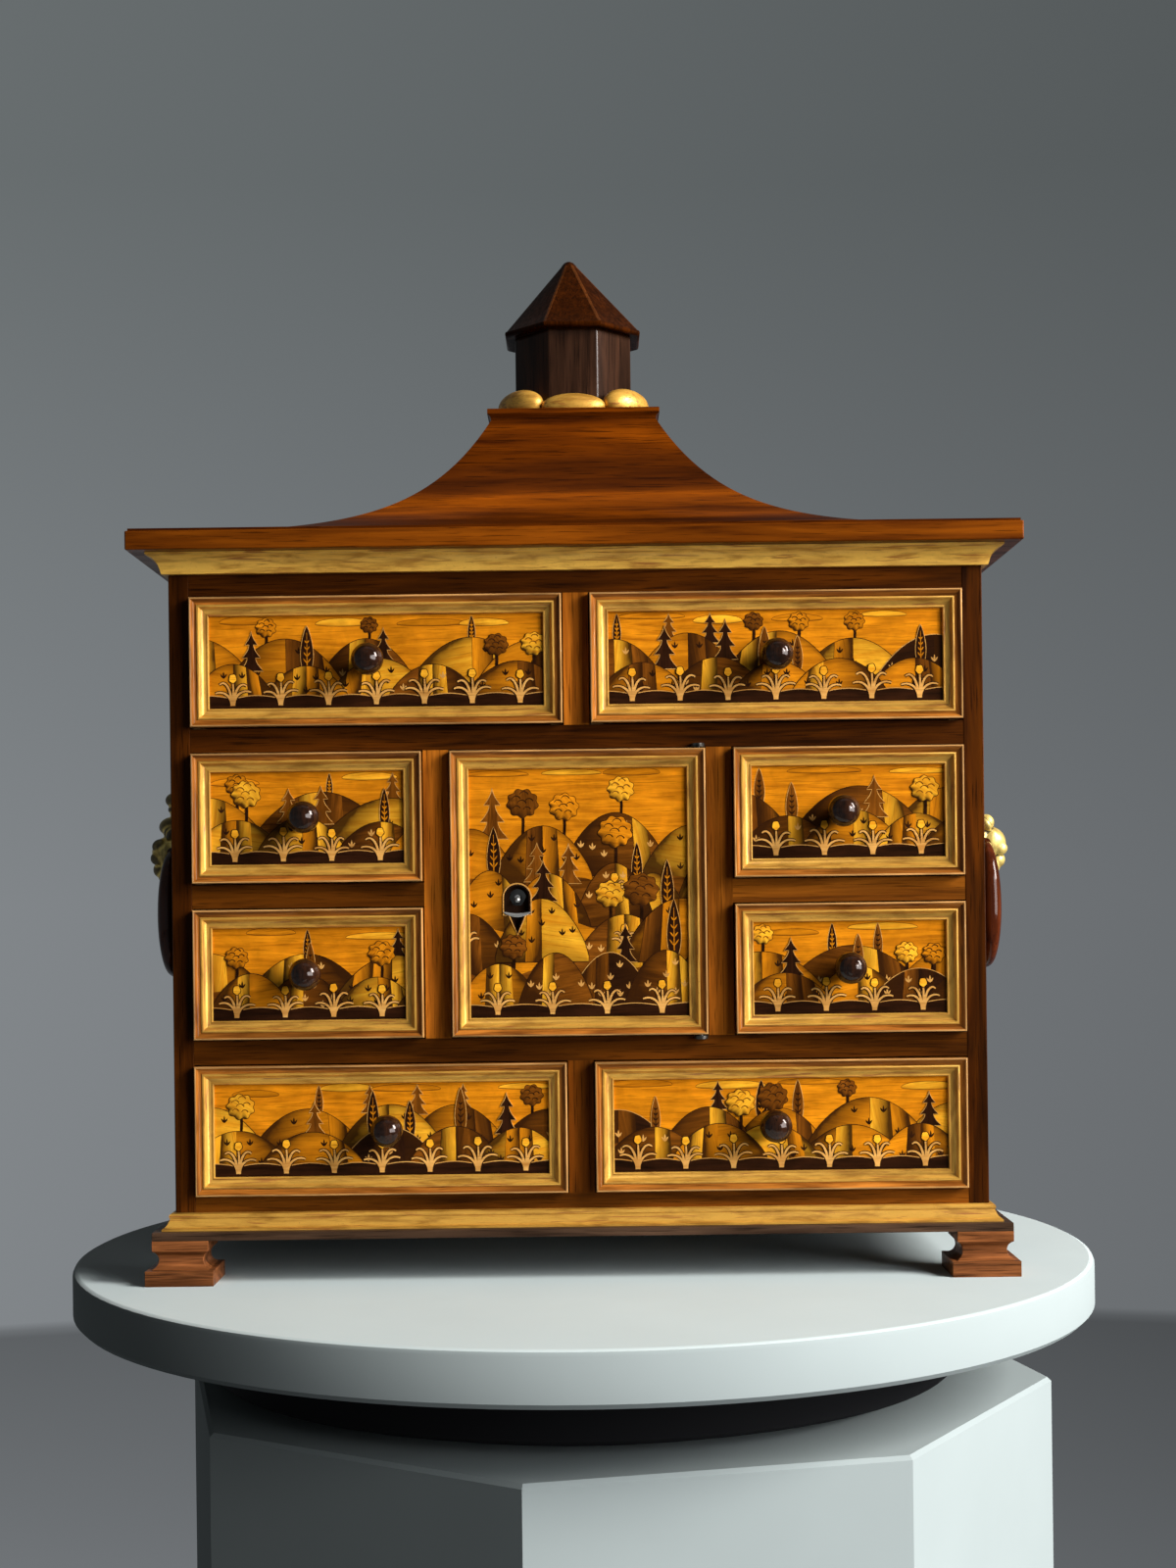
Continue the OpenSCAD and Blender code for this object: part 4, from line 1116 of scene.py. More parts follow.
def tree(inlay, rng, kind, x, z, tall):
    """One tree of the given kind, with its foot at x, z."""
    if kind == "cypress":
        tone = rng.choice(("dark", "dark", "brown"))
        vein = "amber" if tone == "dark" else "dark"
        inlay.edged(cypress(x, z, tall, tall * rng.uniform(0.28, 0.34)), tone, "pale", 0.35, 0.55, 0.5)
        inlay.line([(x, z + tall * 0.08), (x, z + tall * 0.45), (x, z + tall * 0.85)], 0.7, vein, 0.5, 0.7)
        for k in range(4):
            for side in (-1, 1):
                foot, long = z + tall * (0.16 + 0.15 * k), tall * (0.15 - 0.02 * k)
                inlay.solid(leaf(x, foot, long, 0.8, math.pi / 2 - side * 0.62), vein)
    elif kind == "fir":
        inlay.line([(x, z - 1.5), (x, z + 2.5)], 1.6, "dark", 0.4)
        inlay.edged(
            fir(x, z + 1.5, tall - 1.5, tall * rng.uniform(0.55, 0.68)), rng.choice(("dark", "brown")),
            "pale", 0.35, rng.uniform(0.4, 0.8), 0.5,
        )
    else:
        radius = tall * 0.31
        middle = z + tall - radius
        inlay.line([(x, z - 1), (x + 0.4, z + tall * 0.3), (x, middle - radius * 0.3)], 1.7, "dark", 0.4)
        tone = rng.choice(("honey", "brown", "amber"))
        inlay.edged(
            crown(x, middle, radius, 0.92, 9, rng.uniform(0, 6), 0.075, 72), tone, "dark", 0.35,
            rng.uniform(0.5, 0.95), rng.random(), heart=(x + radius * 0.1, middle + radius * 0.1),
            rim=0.85, scorch=0.95, toward=(-0.6, -0.8),
        )
        mark = "brown" if tone == "honey" else "dark"
        for across, up, share in ((-0.42, 0.2, 0.3), (0.1, 0.5, 0.3), (0.45, 0.05, 0.28), (-0.05, -0.1, 0.32),
                                  (-0.4, -0.42, 0.26), (0.3, -0.5, 0.26)):
            bough = arc((x + radius * across, middle + radius * up), radius * share, 20, 160, 8)
            inlay.line(bough, 0.75, mark, 0.5, 0.5)


class Hill:
    """A round hill with fields and tufts of grass."""

    LEVELS = (0.0, 0.2, 0.4, 0.65, 0.88, 1.0)

    def __init__(self, x, top, half, foot):
        self.x, self.top, self.half, self.foot = x, top, half, foot

    def crest(self, share):
        return self.foot + (self.top - self.foot) * math.cos(math.pi / 2 * min(1, abs(share))) ** 0.7

    def edge(self, low, high, count):
        """Points along the crest between two shares of the half width."""
        shares = [low + (high - low) * i / count for i in range(count + 1)]
        return [(self.x + self.half * s, self.crest(s)) for s in shares]

    def columns(self, low, high, count, flare, shade):
        """Faces from the hill's bottom to its crest. The shade goes by the share across and the share up."""
        deep = self.foot - 3
        grid = []
        for i, (x, z) in enumerate(self.edge(low, high, count)):
            grid.append([
                (x + (x - self.x) * flare * (1 - up), deep + (z - deep) * up, shade(i / count, up))
                for up in self.LEVELS
            ])
        return [
            [a[j], b[j], b[j + 1], a[j + 1]] for a, b in zip(grid, grid[1:]) for j in range(len(self.LEVELS) - 1)
        ]

    def inlaid(self, inlay, rng, tone, other):
        x, half, deep = self.x, self.half, self.foot - 3
        line = "pale" if "dark" in (tone, other) else "dark"
        left = rng.random() < 0.5
        burn, crest = rng.uniform(0.75, 1.0), rng.uniform(0.3, 0.7)

        def body_shade(across, up):
            flank = (0.55 - across if left else across - 0.45) * 2.0
            return min(1.0, burn * max(0.0, flank) + 0.8 * max(0.0, 0.55 - up) + crest * max(0.0, up - 0.8) * 4)

        outline = [(x - half, deep), (x, deep), (x + half, deep)] + list(reversed(self.edge(-1, 1, 32)))
        inlay.solid(inlay.grown(outline, 0.4), line)
        inlay.lay(
            self.columns(-1, 1, 32, 0.0, body_shade), tone, rng.uniform(0.35, 0.85), rng.choice((0.0, 0.05, 0.95))
        )
        start = rng.choice((-0.62, -0.3, 0.02))
        for low, high in ((start, start + 0.3), (start + 0.3, start + 0.58)):
            if rng.random() < 0.75:
                fall = rng.uniform(0.8, 1.0)

                def field_shade(across, up):
                    return min(1.0, fall * (across if left else 1 - across) ** 1.3 + 0.7 * max(0.0, 0.55 - up))

                inlay.line([(px + (px - x) * 0.2 * (1 - t), deep + (pz - deep) * t) for px, pz, t in (
                    (*self.edge(low, low + 0.01, 1)[0], k / 6) for k in range(7))], 0.5, "dark")
                field = other if low == start else rng.choice((tone, other))
                inlay.lay(
                    self.columns(low, high, 10, 0.2, field_shade), field,
                    rng.uniform(0.35, 0.95), rng.choice((0.46, 0.5, 0.56)),
                )
        mark = "pale" if tone in ("dark", "brown") else "dark"
        for row in range(3):
            for share in [-0.66 + 0.44 * k + 0.22 * (row % 2) for k in range(4 - row % 2)]:
                z = self.crest(share) - 7.5 - 8.5 * row
                if z > self.foot + 2 and rng.random() < 0.55:
                    tuft(inlay, x + half * share, z, mark, 4.4)


def front_inlay(node, face):
    """An empty inlay over the front inside a frame node, tucked a little under the frame."""
    low, high = node_box(node)
    rim = shapes().frame_w / MM - TUCK
    return Inlay(low.x + rim, low.z + rim, high.x - low.x - 2 * rim, high.z - low.z - 2 * rim, face)


def landscape(inlay, rng, tops):
    """Round hills, trees and flowering plants over a dark ground strip."""
    w, h = inlay.width, inlay.height
    ground = veneers().ground_h / MM
    inlay.solid([(-1.0, -1.0), (w + 1, -1.0), (w + 1, h + 1), (-1.0, h + 1)], "amber", 0.75)
    clouds = max(2, round(w / 50))
    for k in range(clouds):
        x, z = w * (k + rng.uniform(0.2, 0.8)) / clouds, h - rng.uniform(3.0, 7.5)
        long, tall = rng.uniform(13, 22), rng.uniform(1.5, 2.4)
        cloud = [(x + long * math.cos(a), z + tall * math.sin(a) * (1.5 if math.sin(a) > 0 else 0.6))
                 for a in circle(36)]
        inlay.edged(cloud, "honey" if k % 2 else "amber", "brown", 0.3, rng.uniform(0.35, 0.9), 0.03,
                    heart=(x, z), rim=0.9, scorch=0.5, toward=(0.0, -1.0))
    kinds = ["cypress", "round", "fir"]
    rng.shuffle(kinds)
    pairs = [("honey", "amber"), ("amber", "brown"), ("brown", "honey"), ("amber", "honey"), ("dark", "brown")]
    turn = rng.randrange(3)
    for row, level in enumerate(tops):
        count = max(2, round(w / HILL_SPACING)) + row % 2
        hills = []
        for k in range(count + 1):
            x = w * (k + (0.5 if row % 2 else 0.0) + rng.uniform(-0.16, 0.16)) / count
            top = ground + (h - ground) * (level + rng.uniform(-0.06, 0.06))
            hills.append(Hill(x, top, w / count * rng.uniform(0.62, 0.8), max(ground - 2, top - 34)))
        rng.shuffle(hills)
        if row:
            deep = ground + (h - ground) * level - 12.0
            rim = [(x, deep + 3.5 * math.sin(14.0 * x / w + row))
                   for x in (-1 + (w + 2) * k / 40 for k in range(41))]
            inlay.solid([(-1, -1), (w + 1, -1)] + list(reversed(rim)), "brown" if row % 2 else "amber", 0.4)
        for k, one in enumerate(hills):
            for share in ((-0.34, 0.4) if k % 2 else (0.1,)):
                x, z = one.x + one.half * (share + rng.uniform(-0.1, 0.1)), one.crest(share) - 2.5
                tall = min(rng.uniform(0.36, 0.5) * min(h, 66.0), h - z - 1.5)
                if tall > 10 and 4 < x < w - 4 and rng.random() < 0.8:
                    tree(inlay, rng, kinds[(k + row) % 3], x, z, tall)
            tone, other = pairs[(k + turn + 2 * row) % (5 if k % 3 == 1 else 4)]
            one.inlaid(inlay, rng, tone, other)
            if 0 < row < len(tops) - 1 and tone in ("brown", "dark") and one.top - one.foot > 20:
                plant(inlay, one.x, one.top - 20, 11.0, rng)
    count = max(3, round(w / 30))
    gap = w / count
    edge = [(x, ground - 0.9 + 1.9 * abs(math.cos(math.pi * x / gap)))
            for x in (-1 + (w + 2) * k / 160 for k in range(161))]
    inlay.solid([(-1, -1), (w + 1, -1)] + list(reversed(edge)), "dark", 0.5)
    inlay.line([(x, z + 0.1) for x, z in edge], 0.5, "pale", 0.4)
    for k in range(count):
        plant(inlay, gap * (k + 0.5), ground * 0.3, rng.uniform(15.0, 17.0), rng)


class CABINET_OT_drawers(bpy.types.Operator):
    """Makes the eight drawers: boxes, frames, inlaid fronts and knobs"""

    bl_idname = "cabinet.drawers"
    bl_label = "Drawers"

    def boards(self, work):
        """The faces of each separate board."""
        seen = set()
        for start in work.faces:
            board, stack = [], [start]
            while stack:
                face = stack.pop()
                if face not in seen:
                    seen.add(face)
                    board.append(face)
                    stack += [f for e in face.edges for f in e.link_faces if f not in seen]
            if board:
                yield board

    def box(self, body):
        """The box of a drawer: dark front, linings with their grain along each board."""
        node = body + "_box"
        mesh = eased_mesh(node, shapes().fine_ease)
        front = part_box(node)[0].y
        with edited(mesh) as work:
            for board in self.boards(work):
                low = [min(v.co[a] for f in board for v in f.verts) for a in range(3)]
                high = [max(v.co[a] for f in board for v in f.verts) for a in range(3)]
                size = [h - l for h, l in zip(high, low)]
                kind = 0 if low[1] < front + 1e-4 else 1 if size[1] > size[0] else 2
                for face in board:
                    face.material_index = kind
        boards = [timber("rosewood", "x"), timber("pine", "y"), timber("pine", "x")]
        place(body + ".box", mesh, body, "marquetry", boards, (node,), BOARD_ANGLE)

    def knob(self, body, face):
        node = body + "_knob"
        centre, tenon = node_middle(node), face - node_box(node)[1].y
        r, reach = shapes().knob_r / MM, shapes().knob_reach / MM
        middle = reach - r
        profile = [(0.02, tenon), (3.4, tenon), (3.5, 0.05), (6.3, 0.1), (6.5, 0.4), (6.45, 1.0), (6.0, 1.5),
                   (5.0, 1.9), (4.4, 2.6), (4.2, 3.6), (4.5, 4.3), (5.1, 4.5), (5.3, 4.9), (5.0, 5.3)]
        for i in range(25):
            a = math.radians(-53 + 141 * i / 24)
            notch = 0.28 if i in (6, 14, 20) else 0.0
            profile.append(((r - notch) * math.cos(a), middle + (r - notch) * math.sin(a)))
        profile.append((0.02, reach))
        shape = Shape()
        turned(shape, profile, (centre.x, face, centre.z))
        place(body + ".knob", shape, body, "polished_hardwood", [timber("knob", "z")], (node,))

    def execute(self, context):
        for i, where in enumerate(PLACES):
            body = "drawer_" + where
            face = node_box(body + "_box")[0].y
            self.box(body)
            framed(body + ".frame", body + "_frame", body, face)
            self.knob(body, face)
            inlay = front_inlay(body + "_frame", face)
            landscape(inlay, random.Random(41 + 7 * i), (0.68, 0.4))
            inlay.piece(body + ".inlay", body)
        return {"FINISHED"}


class CABINET_OT_door(bpy.types.Operator):
    """Makes the door: frame, inlaid front, keyhole lining, drill pin, lock and pivots"""

    bl_idname = "cabinet.door"
    bl_label = "Door"

    HEAD_R, LEG, POINT_R, POINT_H = 7.8, 10.0, 4.6, 11.5
    RIM, PROUD, FLOOR, BACK, BORE_R = 1.0, 0.95, 2.2, 2.95, 5.0
    PIN_R, PIN_BACK = 1.75, 9.0
    LIP_HALF, LIP_THICK, LIP_OUT = 8.4, 1.15, 1.5
    FREE = 0.02

    def arch(self, x, z, grow):
        """Outline of the keyhole's round-headed part, anticlockwise."""
        low = z - self.LEG - grow
        r = self.HEAD_R + grow
        return [(x + a, z + b) for a, b in arc((0, 0), r, 0, 180, 24)] + [(x - r, low), (x + r, low)]

    def point(self, x, z, grow):
        """Outline of the keyhole's pointed part, anticlockwise."""
        r, top = self.POINT_R + grow, z - self.LEG - grow
        return [(x - r, top), (x, top - self.POINT_H), (x + r, top)]

    def outline(self, x, z, grow):
        """Outline of the whole keyhole, anticlockwise from its right."""
        made = self.arch(x, z, grow)
        return made[:-1] + self.point(x, z, grow) + made[-1:]

    def lining(self, x, z, face):
        """A black tray in the keyhole with a bore in its floor. Its black walls and floor are partly the lining's
        dark wood and partly painted shade inside the keyhole.
        """
        path = self.outline(x, z, -self.FREE)
        loops = []
        for p, way in zip(path, Inlay.inward(path)):
            inner = (p[0] + way[0] * self.RIM, p[1] + way[1] * self.RIM)
            turn = math.atan2(inner[1] - z, inner[0] - x)
            bore = (x + self.BORE_R * math.cos(turn), z + self.BORE_R * math.sin(turn))
            loops.append([
                (spot[0], face + y, spot[1])
                for spot, y in ((p, -self.PROUD), (inner, -self.PROUD), (inner, self.FLOOR), (bore, self.FLOOR),
                                (bore, self.BACK), (p, self.BACK))
            ])
        tray = skinned(loops, closed=True)
        place("Door.keyhole_lining", tray, "door", "black_wood", [lining_wood()], ("keyhole_lining",))

    def fittings(self, x, z, face):
        """The drill pin that the key turns on and the steel lip under the arch."""
        r = self.PIN_R
        profile = [(0.02, -self.PIN_BACK), (r, -self.PIN_BACK), (r, -1.0)]
        profile += [(a, b - 1.0) for a, b in arc((0, 0), r, 8, 86, 8)] + [(0.02, r - 1.0)]
        shape = Shape()
        turned(shape, profile, (x, face, z - 1.5), 32)
        loops = []
        for i in range(33):
            t = -1 + i / 16
            thick = self.LIP_THICK * max(1 - t * t, 0.0) ** 0.6 + 0.12
            middle = z - self.LEG - 0.5 + 2.0 * t * t
            loops.append([
                (x + self.LIP_HALF * t, face - 0.6 - self.LIP_OUT * 0.5 * math.cos(a), middle + thick * math.sin(a))
                for a in circle(20)
            ])
        rings(shape, loops)
        place("Door.keyhole_steel", shape, "door", "steel", [steel("steel")])

    def execute(self, context):
        face = node_box("door_panel")[0].y
        framed("Door.frame", "door_frame", "door", face)
        paint("door_panel", timber("rosewood", "z"))
        inlay = front_inlay("door_frame", face)
        key = (node_middle("keyhole_lining").x, node_box("keyhole_lining")[1].z - self.HEAD_R)
        x, z = key[0] - inlay.left, key[1] - inlay.low
        inlay.holes = (self.arch(x, z, self.FREE), self.point(x, z, self.FREE))
        landscape(inlay, random.Random(7), (0.8, 0.6, 0.42, 0.22))
        edge = self.outline(x, z, 0.4)
        inlay.line(edge + edge[:1], 0.75, "pale", 0.6)
        inlay.piece("Door.inlay", "door")
        self.lining(*key, face)
        self.fittings(*key, face)
        for node in ("lock_case", "lock_bolt"):
            paint(node, steel("steel"))
        paint("door_hinges", steel("iron", 0.3))
        return {"FINISHED"}


# Side handles


class CABINET_OT_handles(bpy.types.Operator):
    """Makes the carved gilt mounts and the polished rings on the two sides"""

    bl_idname = "cabinet.handles"
    bl_label = "Side handles"

    AXIS_OUT, AXIS_UP = 22.0, 256.0
    RING_W, RING_DROP, RING_BOW = 58.0, 76.0, 0.5
    BAR_R, THICK_R, THIN_R, SHOULDER = 3.5, 6.5, 4.5, 11.5
    POWER = 2 / 3
    STEPS, SIDES = 96, 28
    CREASE, BLUR = 0.055, 4

    def ring(self, side, name, node):
        wall = node_box("side_right")[1].x
        centre = Vector((side * (wall + self.AXIS_OUT), node_middle(node).y, self.AXIS_UP))

        def bend(v):
            return math.copysign(abs(v) ** self.POWER, v)

        def middle(a):
            down = (1 - bend(math.cos(a))) / 2
            return Vector((self.RING_BOW * math.sin(math.pi * down), self.RING_W / 2 * bend(math.sin(a)),
                           -self.RING_DROP * down)), down

        start = math.asin((self.SHOULDER / (self.RING_W / 2)) ** (1 / self.POWER))
        loops = []
        for i in range(self.STEPS + 1):
            a = start + (2 * math.pi - 2 * start) * i / self.STEPS
            at, down = middle(a)
            way = (middle(a + 0.009)[0] - middle(a - 0.009)[0]).normalized()
            if i in (0, self.STEPS):
                way = Vector((0, 1, 0))
            flank = (Vector((1, 0, 0)) - way.x * way).normalized()
            up = way.cross(flank)
            mean = (self.BAR_R + self.THIN_R) / 2
            r = self.BAR_R + (self.THIN_R - self.BAR_R) * down + (self.THICK_R - mean) * math.sin(math.pi * down)
            loop = []
            for k in range(self.SIDES):
                t = 2 * math.pi * k / self.SIDES
                p = at + r * math.cos(t) * flank + r * math.sin(t) * up
                loop.append((centre.x + side * p.x, centre.y + p.y, centre.z + p.z))
            loops.append(loop)
        shape = skinned(loops)
        bar = self.SHOULDER + self.BAR_R
        turned(shape, [(0.02, -bar), (self.BAR_R, -bar), (self.BAR_R, bar), (0.02, bar)], centre, self.SIDES)
        place(name, shape, node, "polished_hardwood", [timber("ring", "z")], (node,))

    def lobes(self, side):
        """Forms of a leafy carved mount: centre and radii (out from the side, along, up), tilts about Y and X."""
        made = [
            ((1.6, 0, 11.5), (2.6, 18.5, 20.0), 0, 0),
            ((11.0, 0, 14.0), (11.5, 12.5, 14.0), 0, 0),
            ((17.0, 0, 4.0), (15.0, 9.6, 10.0), 0, 0),
            ((27.5, 0, 0.5), (10.5, 9.4, 10.5), 0, 0),
            ((27.2, 0, -13.4), (7.2, 6.6, 7.8), 0, 0),
            ((32.0, 0, -10.5), (5.4, 5.4, 5.4), 0, 0),
        ]
        for k in range(14):
            a = 2 * math.pi * (k + 0.5) / 14
            made.append(((2.6, 16.6 * math.cos(a), 11.5 + 18.0 * math.sin(a)), (2.8, 4.4, 4.4), 0, 0))
        for k in range(-2, 3):
            a = 0.55 * k
            out, bulge = (14.5, 6.8) if side < 0 else (10.5, 4.6)
            made.append(((out - 1.4 * abs(k), 9.5 * math.sin(a), 17.0 + 6.0 * math.cos(a)), (bulge, 3.4, 7.6),
                         0.45, -a))
            made.append(((25.0 - 1.2 * abs(k), 7.2 * math.sin(a), 10.5 + 3.0 * math.cos(a)), (5.6, 2.9, 5.8),
                         0.8, -a))
        for s in (-1, 1):
            made.append(((31.5 if side < 0 else 27.6, 4.6 * s, 4.4), (5.6, 4.2, 5.0), 0, 0))
            made.append(((33.2, 3.8 * s, -3.2), (5.2, 4.2, 4.6), 0, 0))
            made.append(((20.0, 7.4 * s, -8.0), (6.6, 2.8, 5.2), 0.3, 0.3 * s))
            made.append(((9.0, 10.0 * s, 2.0), (6.0, 4.2, 8.0), 0, 0.35 * s))
        if side < 0:
            made += [
                ((26.0, 0, 18.0), (7.4, 7.0, 5.6), 0.3, 0), ((19.0, 0, 25.5), (7.0, 6.0, 5.0), 0, 0),
                ((22.5, 0, 28.5), (4.8, 4.8, 3.2), 0, 0), ((22.0, 0, 34.6), (7.0, 5.6, 5.2), 0, 0),
            ]
        else:
            made.append(((21.6, 0, 14.6), (6.6, 7.4, 5.2), 0.4, 0))
        return made

    def hollows(self, work):
        """How hollow the carving is at each point, from 0 on its rounds to 1 in its creases."""
        work.normal_update()
        near = [[e.other_vert(v).index for e in v.link_edges] for v in work.verts]
        made = []
        for v in work.verts:
            mean = sum((e.other_vert(v).co - v.co for e in v.link_edges), Vector()) / len(v.link_edges)
            made.append(mean.dot(v.normal) / (self.CREASE * shapes().mount_voxel))
        for _ in range(self.BLUR):
            made = [0.5 * made[i] + 0.5 * sum(made[k] for k in some) / len(some) for i, some in enumerate(near)]
        return [min(1.0, max(0.0, h)) for h in made]

    def mount(self, side, name, node):
        wall, y = node_box("side_right")[1].x, node_middle(node).y
        mesh = bpy.data.meshes.new(name)
        with edited(mesh) as work:
            for at, radii, tilt_y, tilt_x in self.lobes(side):
                turn = Matrix.Rotation(tilt_y, 4, "Y") @ Matrix.Rotation(tilt_x, 4, "X")
                form = Matrix.Translation(Vector(at) * MM) @ turn @ Matrix.Diagonal((*(Vector(radii) * MM), 1.0))
                bmesh.ops.create_uvsphere(work, u_segments=28, v_segments=18, radius=1.0, matrix=form)
        rough = linked(name + "_rough", mesh)
        remesh = rough.modifiers.new("carve", "REMESH")
        remesh.mode = "VOXEL"
        remesh.voxel_size = shapes().mount_voxel
        soften = rough.modifiers.new("soften", "SMOOTH")
        soften.factor = 0.5
        soften.iterations = 3
        carved = bpy.data.meshes.new_from_object(rough.evaluated_get(bpy.context.evaluated_depsgraph_get()))
        bpy.data.objects.remove(rough)
        with edited(carved) as work:
            for v in work.verts:
                v.co = Vector((side * (wall * MM + max(v.co.x, 0.0)), y * MM + v.co.y, self.AXIS_UP * MM + v.co.z))
            bmesh.ops.recalc_face_normals(work, faces=work.faces)
            hollow = self.hollows(work)
        carved.attributes.new("hollow", "FLOAT", "POINT").data.foreach_set("value", hollow)
        carved.materials.clear()
        place(name, carved, "case", "gilt_wood", [carved_gilding("gilt_mount")], (node,))

    def execute(self, context):
        for side, word in ((-1, "left"), (1, "right")):
            self.ring(side, "Handle.ring_" + word, "handle_" + word)
            self.mount(side, "Handle.mount_" + word, "handle_mount_" + word)
        return {"FINISHED"}


# Stage


class CABINET_OT_stage(bpy.types.Operator):
    """Sets up the camera, the lamps, the backdrop and the round stand"""

    bl_idname = "cabinet.stage"
    bl_label = "Stage"

    STAND_R, STAND_H = 321.0, 30.0
    # Name, size, place, aim and tint of each lamp
    LAMPS = (
        ("Key", (1.1, 1.5), (2.96, -1.37, 1.84), (0, -0.05, 0.26), (1.0, 0.97, 0.93)),
        ("Broad", (1.8, 1.8), (2.73, -2.39, 0.75), (0, -0.1, 0.25), (1.0, 1.0, 1.0)),
        ("Top", (1.4, 0.9), (0.3, -0.35, 1.9), (0, 0, 0.3), (1.0, 1.0, 1.0)),
    )

    def paint_for(self, name, tone):
        """Matt paint with a faint mottle."""
        made, tree, skin = blank(name)
        mottle = noise(tree, grain_place(tree, "x", 9.0, 9.0), 4.0)
        feed(tree, skin, {
            "Base Color": ramp(tree, mottle, ((0.3, scaled(tone, 0.95)), (0.7, tone))),
            "Roughness": 0.85,
            "Specular IOR Level": 0.15,
        })
        return made

    def round_form(self, profile, sides=128, turn=0.0, x=0.0):
        """A form turned about an upright line. Profile points are (radius, height)."""
        return [
            [(x + radius * math.cos(a), radius * math.sin(a), z) for a in circle(sides, turn)]
            for radius, z in profile
        ]

    def stand(self):
        top, side = tuple(studio().stand_top), tuple(studio().stand)
        r, t = self.STAND_R, self.STAND_H
        rim = [(0.5, -t), (r - 3, -t), (r, -t + 3), (r, -3), (r - 1, -1), (r - 3, 0), (r - 3.5, 0), (0.5, 0)]
        foot = [(280, -700), (280, -81), (277.5, -78.6)]
        neck = [(200, -78.6), (200, -70), (235, -69), (237, -67), (237, -31)]
        # The top and its upper bevel take the paler top paint as painted light; the rest takes the darker side paint
        # as painted shade
        disc = skinned(self.round_form(rim), lambda i, k: 1 if i > 3 else 0)
        block = skinned(self.round_form(foot, 8, math.radians(35.3), 14.8))
        plate = skinned(self.round_form(neck, 96))
        pale = self.paint_for("stand_side", side)
        for name, form, paints in (
            ("Stage.disc", disc, [pale, self.paint_for("stand_top", top)]), ("Stage.block", block, [pale]),
            ("Stage.plate", plate, [self.paint_for("stand_plate", (0.005, 0.005, 0.006))]),
        ):
            finished(name, form, paints)

    def lamp(self, name, power, size, at, aim, tint):
        light = bpy.data.lights.new(name, "AREA")
        light.energy = power
        light.shape = "RECTANGLE"
        light.size, light.size_y = size
        light.color = tint
        thing = linked(name, light)
        thing.location = at
        thing.rotation_euler = (Vector(aim) - Vector(at)).to_track_quat("-Z", "Y").to_euler()

    def backdrop(self):
        world = bpy.data.worlds.new("Studio")
        bpy.context.scene.world = world
        world.use_nodes = True
        tree = world.node_tree
        tree.nodes.clear()
        way = add(tree, "SeparateXYZ", {"Vector": add(tree, "TexCoord").outputs["Generated"]}).outputs
        low, high = tuple(studio().backdrop_low), tuple(studio().backdrop_high)
        tone = ramp(tree, spread(tree, way["Z"], -0.4, 0.4, 0.0, 1.0),
                    ((0.0, low), (0.26, scaled(low, 0.5)), (0.265, low), (0.5, low), (0.9, high)))
        fade = spread(tree, way["X"], -0.3, 0.3, 1.12, 0.7)
        seen = add(tree, "Background", {"Color": tone, "Strength": fade}).outputs[0]
        even = add(tree, "Background", {"Color": (0.95, 0.98, 1.0, 1.0), "Strength": studio().room}).outputs[0]
        rays = add(tree, "LightPath").outputs
        shown = math_of(tree, "MAXIMUM", rays["Is Camera Ray"], rays["Is Glossy Ray"])
        shown = math_of(tree, "MAXIMUM", shown, rays["Is Transmission Ray"])
        add(tree, "OutputWorld", {"Surface": add(tree, "MixShader", {0: shown, 1: even, 2: seen}).outputs[0]})

    def execute(self, context):
        look = studio()
        self.stand()
        self.backdrop()
        for name, size, at, aim, tint in self.LAMPS:
            self.lamp(name, getattr(look, name.lower() + "_power"), size, at, aim, tint)
        eye = bpy.data.cameras.new("Eye")
        eye.sensor_fit = "AUTO"
        eye.lens = look.lens
        eye.shift_y = look.rise
        eye.clip_start, eye.clip_end = 0.05, 50.0
        thing = linked("Eye", eye)
        thing.location = look.eye
        thing.rotation_euler = (math.radians(90), look.roll, 0.0)
        bpy.context.scene.camera = thing
        bpy.context.scene.view_settings.view_transform = "Standard"
        return {"FINISHED"}


# Panel, registration and the run


GROUPS = (
    ("cabinet_woods", CabinetWoods), ("cabinet_veneers", CabinetVeneers),
    ("cabinet_shapes", CabinetShapes), ("cabinet_studio", CabinetStudio),
)
OPERATORS = (
    CABINET_OT_carcass, CABINET_OT_mouldings, CABINET_OT_roof, CABINET_OT_turret,
    CABINET_OT_drawers, CABINET_OT_door, CABINET_OT_handles, CABINET_OT_stage,
)


class CABINET_PT_sidebar(bpy.types.Panel):
    """Lists the cabinet's settings and the steps that make its pieces"""

    bl_idname = "CABINET_PT_sidebar"
    bl_label = "Table Cabinet"
    bl_space_type = "VIEW_3D"
    bl_region_type = "UI"
    bl_category = "Cabinet"

    def draw(self, context):
        column = self.layout.column()
        for name, group in GROUPS:
            column.label(text=group.__doc__)
            for key in group.__annotations__:
                column.prop(getattr(context.scene, name), key)
        for operator in OPERATORS:
            column.operator(operator.bl_idname)


def register():
    for _, group in GROUPS:
        bpy.utils.register_class(group)
    for name, group in GROUPS:
        setattr(bpy.types.Scene, name, bpy.props.PointerProperty(type=group))
    for operator in OPERATORS:
        bpy.utils.register_class(operator)
    bpy.utils.register_class(CABINET_PT_sidebar)


def unregister():
    bpy.utils.unregister_class(CABINET_PT_sidebar)
    for operator in reversed(OPERATORS):
        bpy.utils.unregister_class(operator)
    for name, group in reversed(GROUPS):
        delattr(bpy.types.Scene, name)
        bpy.utils.unregister_class(group)


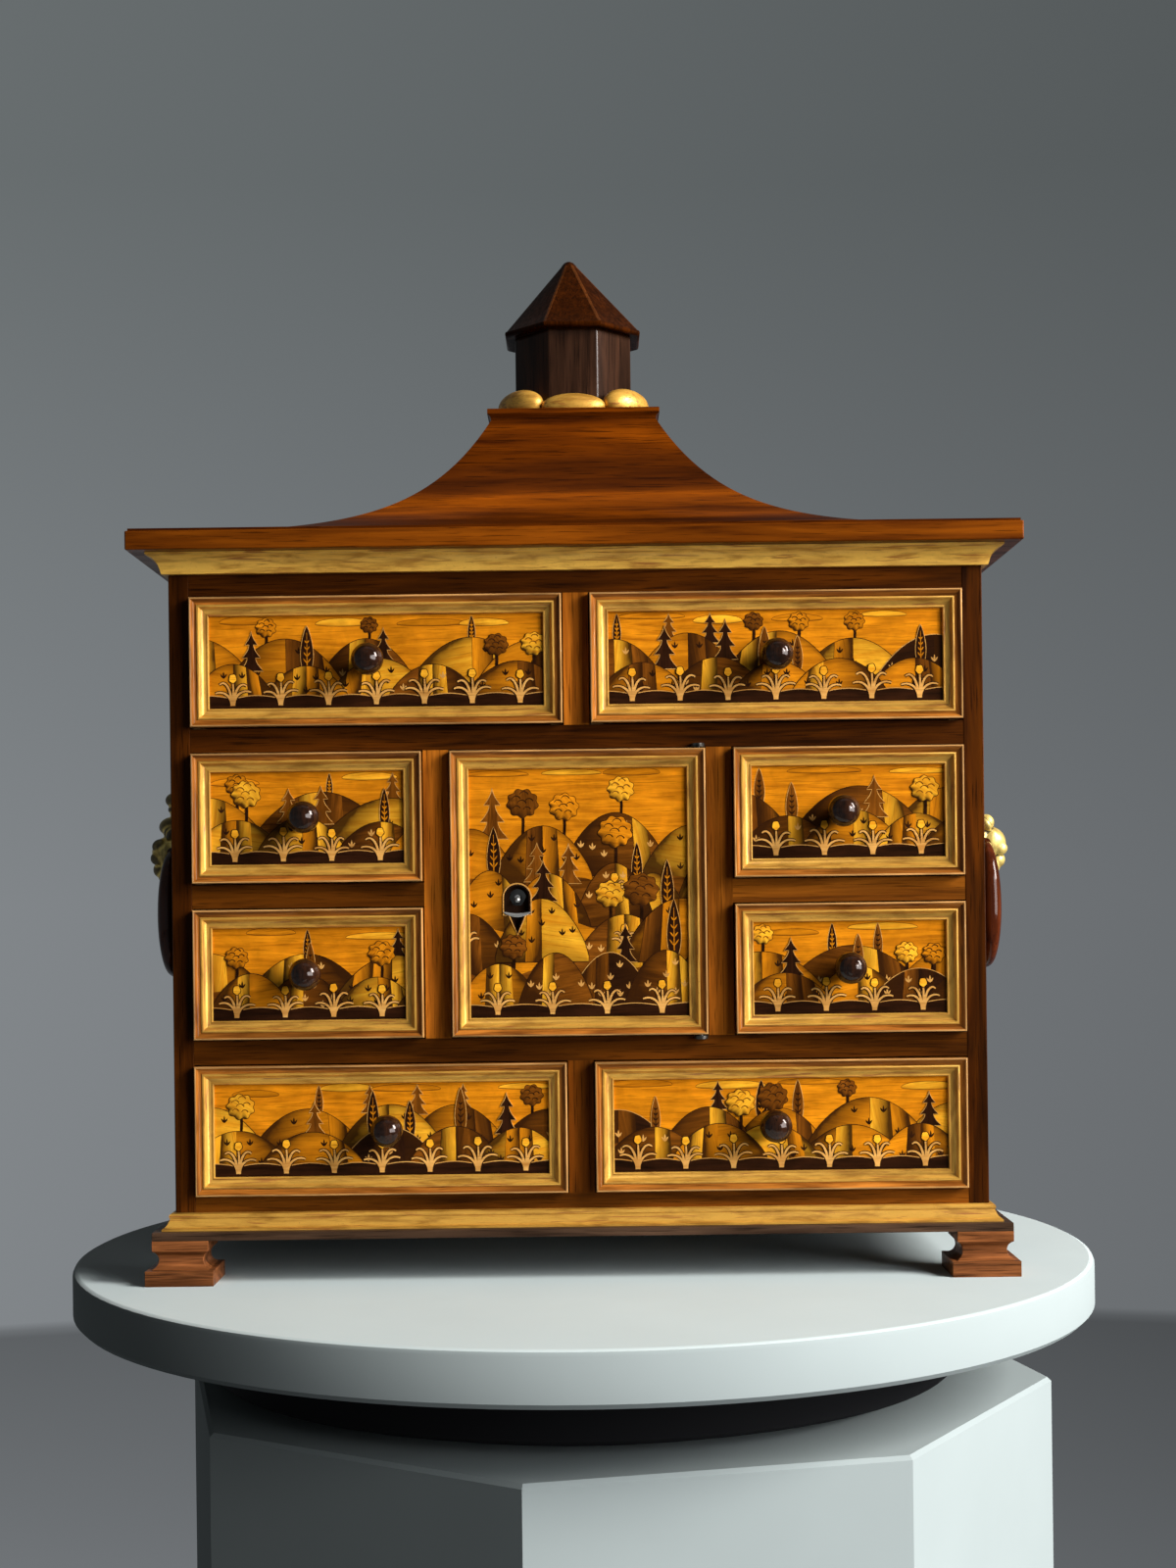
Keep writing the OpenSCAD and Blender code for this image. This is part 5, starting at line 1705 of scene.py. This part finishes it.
def main():
    register()
    bpy.ops.cabinet.carcass()
    bpy.ops.cabinet.mouldings()
    bpy.ops.cabinet.roof()
    bpy.ops.cabinet.turret()
    bpy.ops.cabinet.drawers()
    bpy.ops.cabinet.door()
    bpy.ops.cabinet.handles()
    bpy.ops.cabinet.stage()


if __name__ == "__main__":
    main()
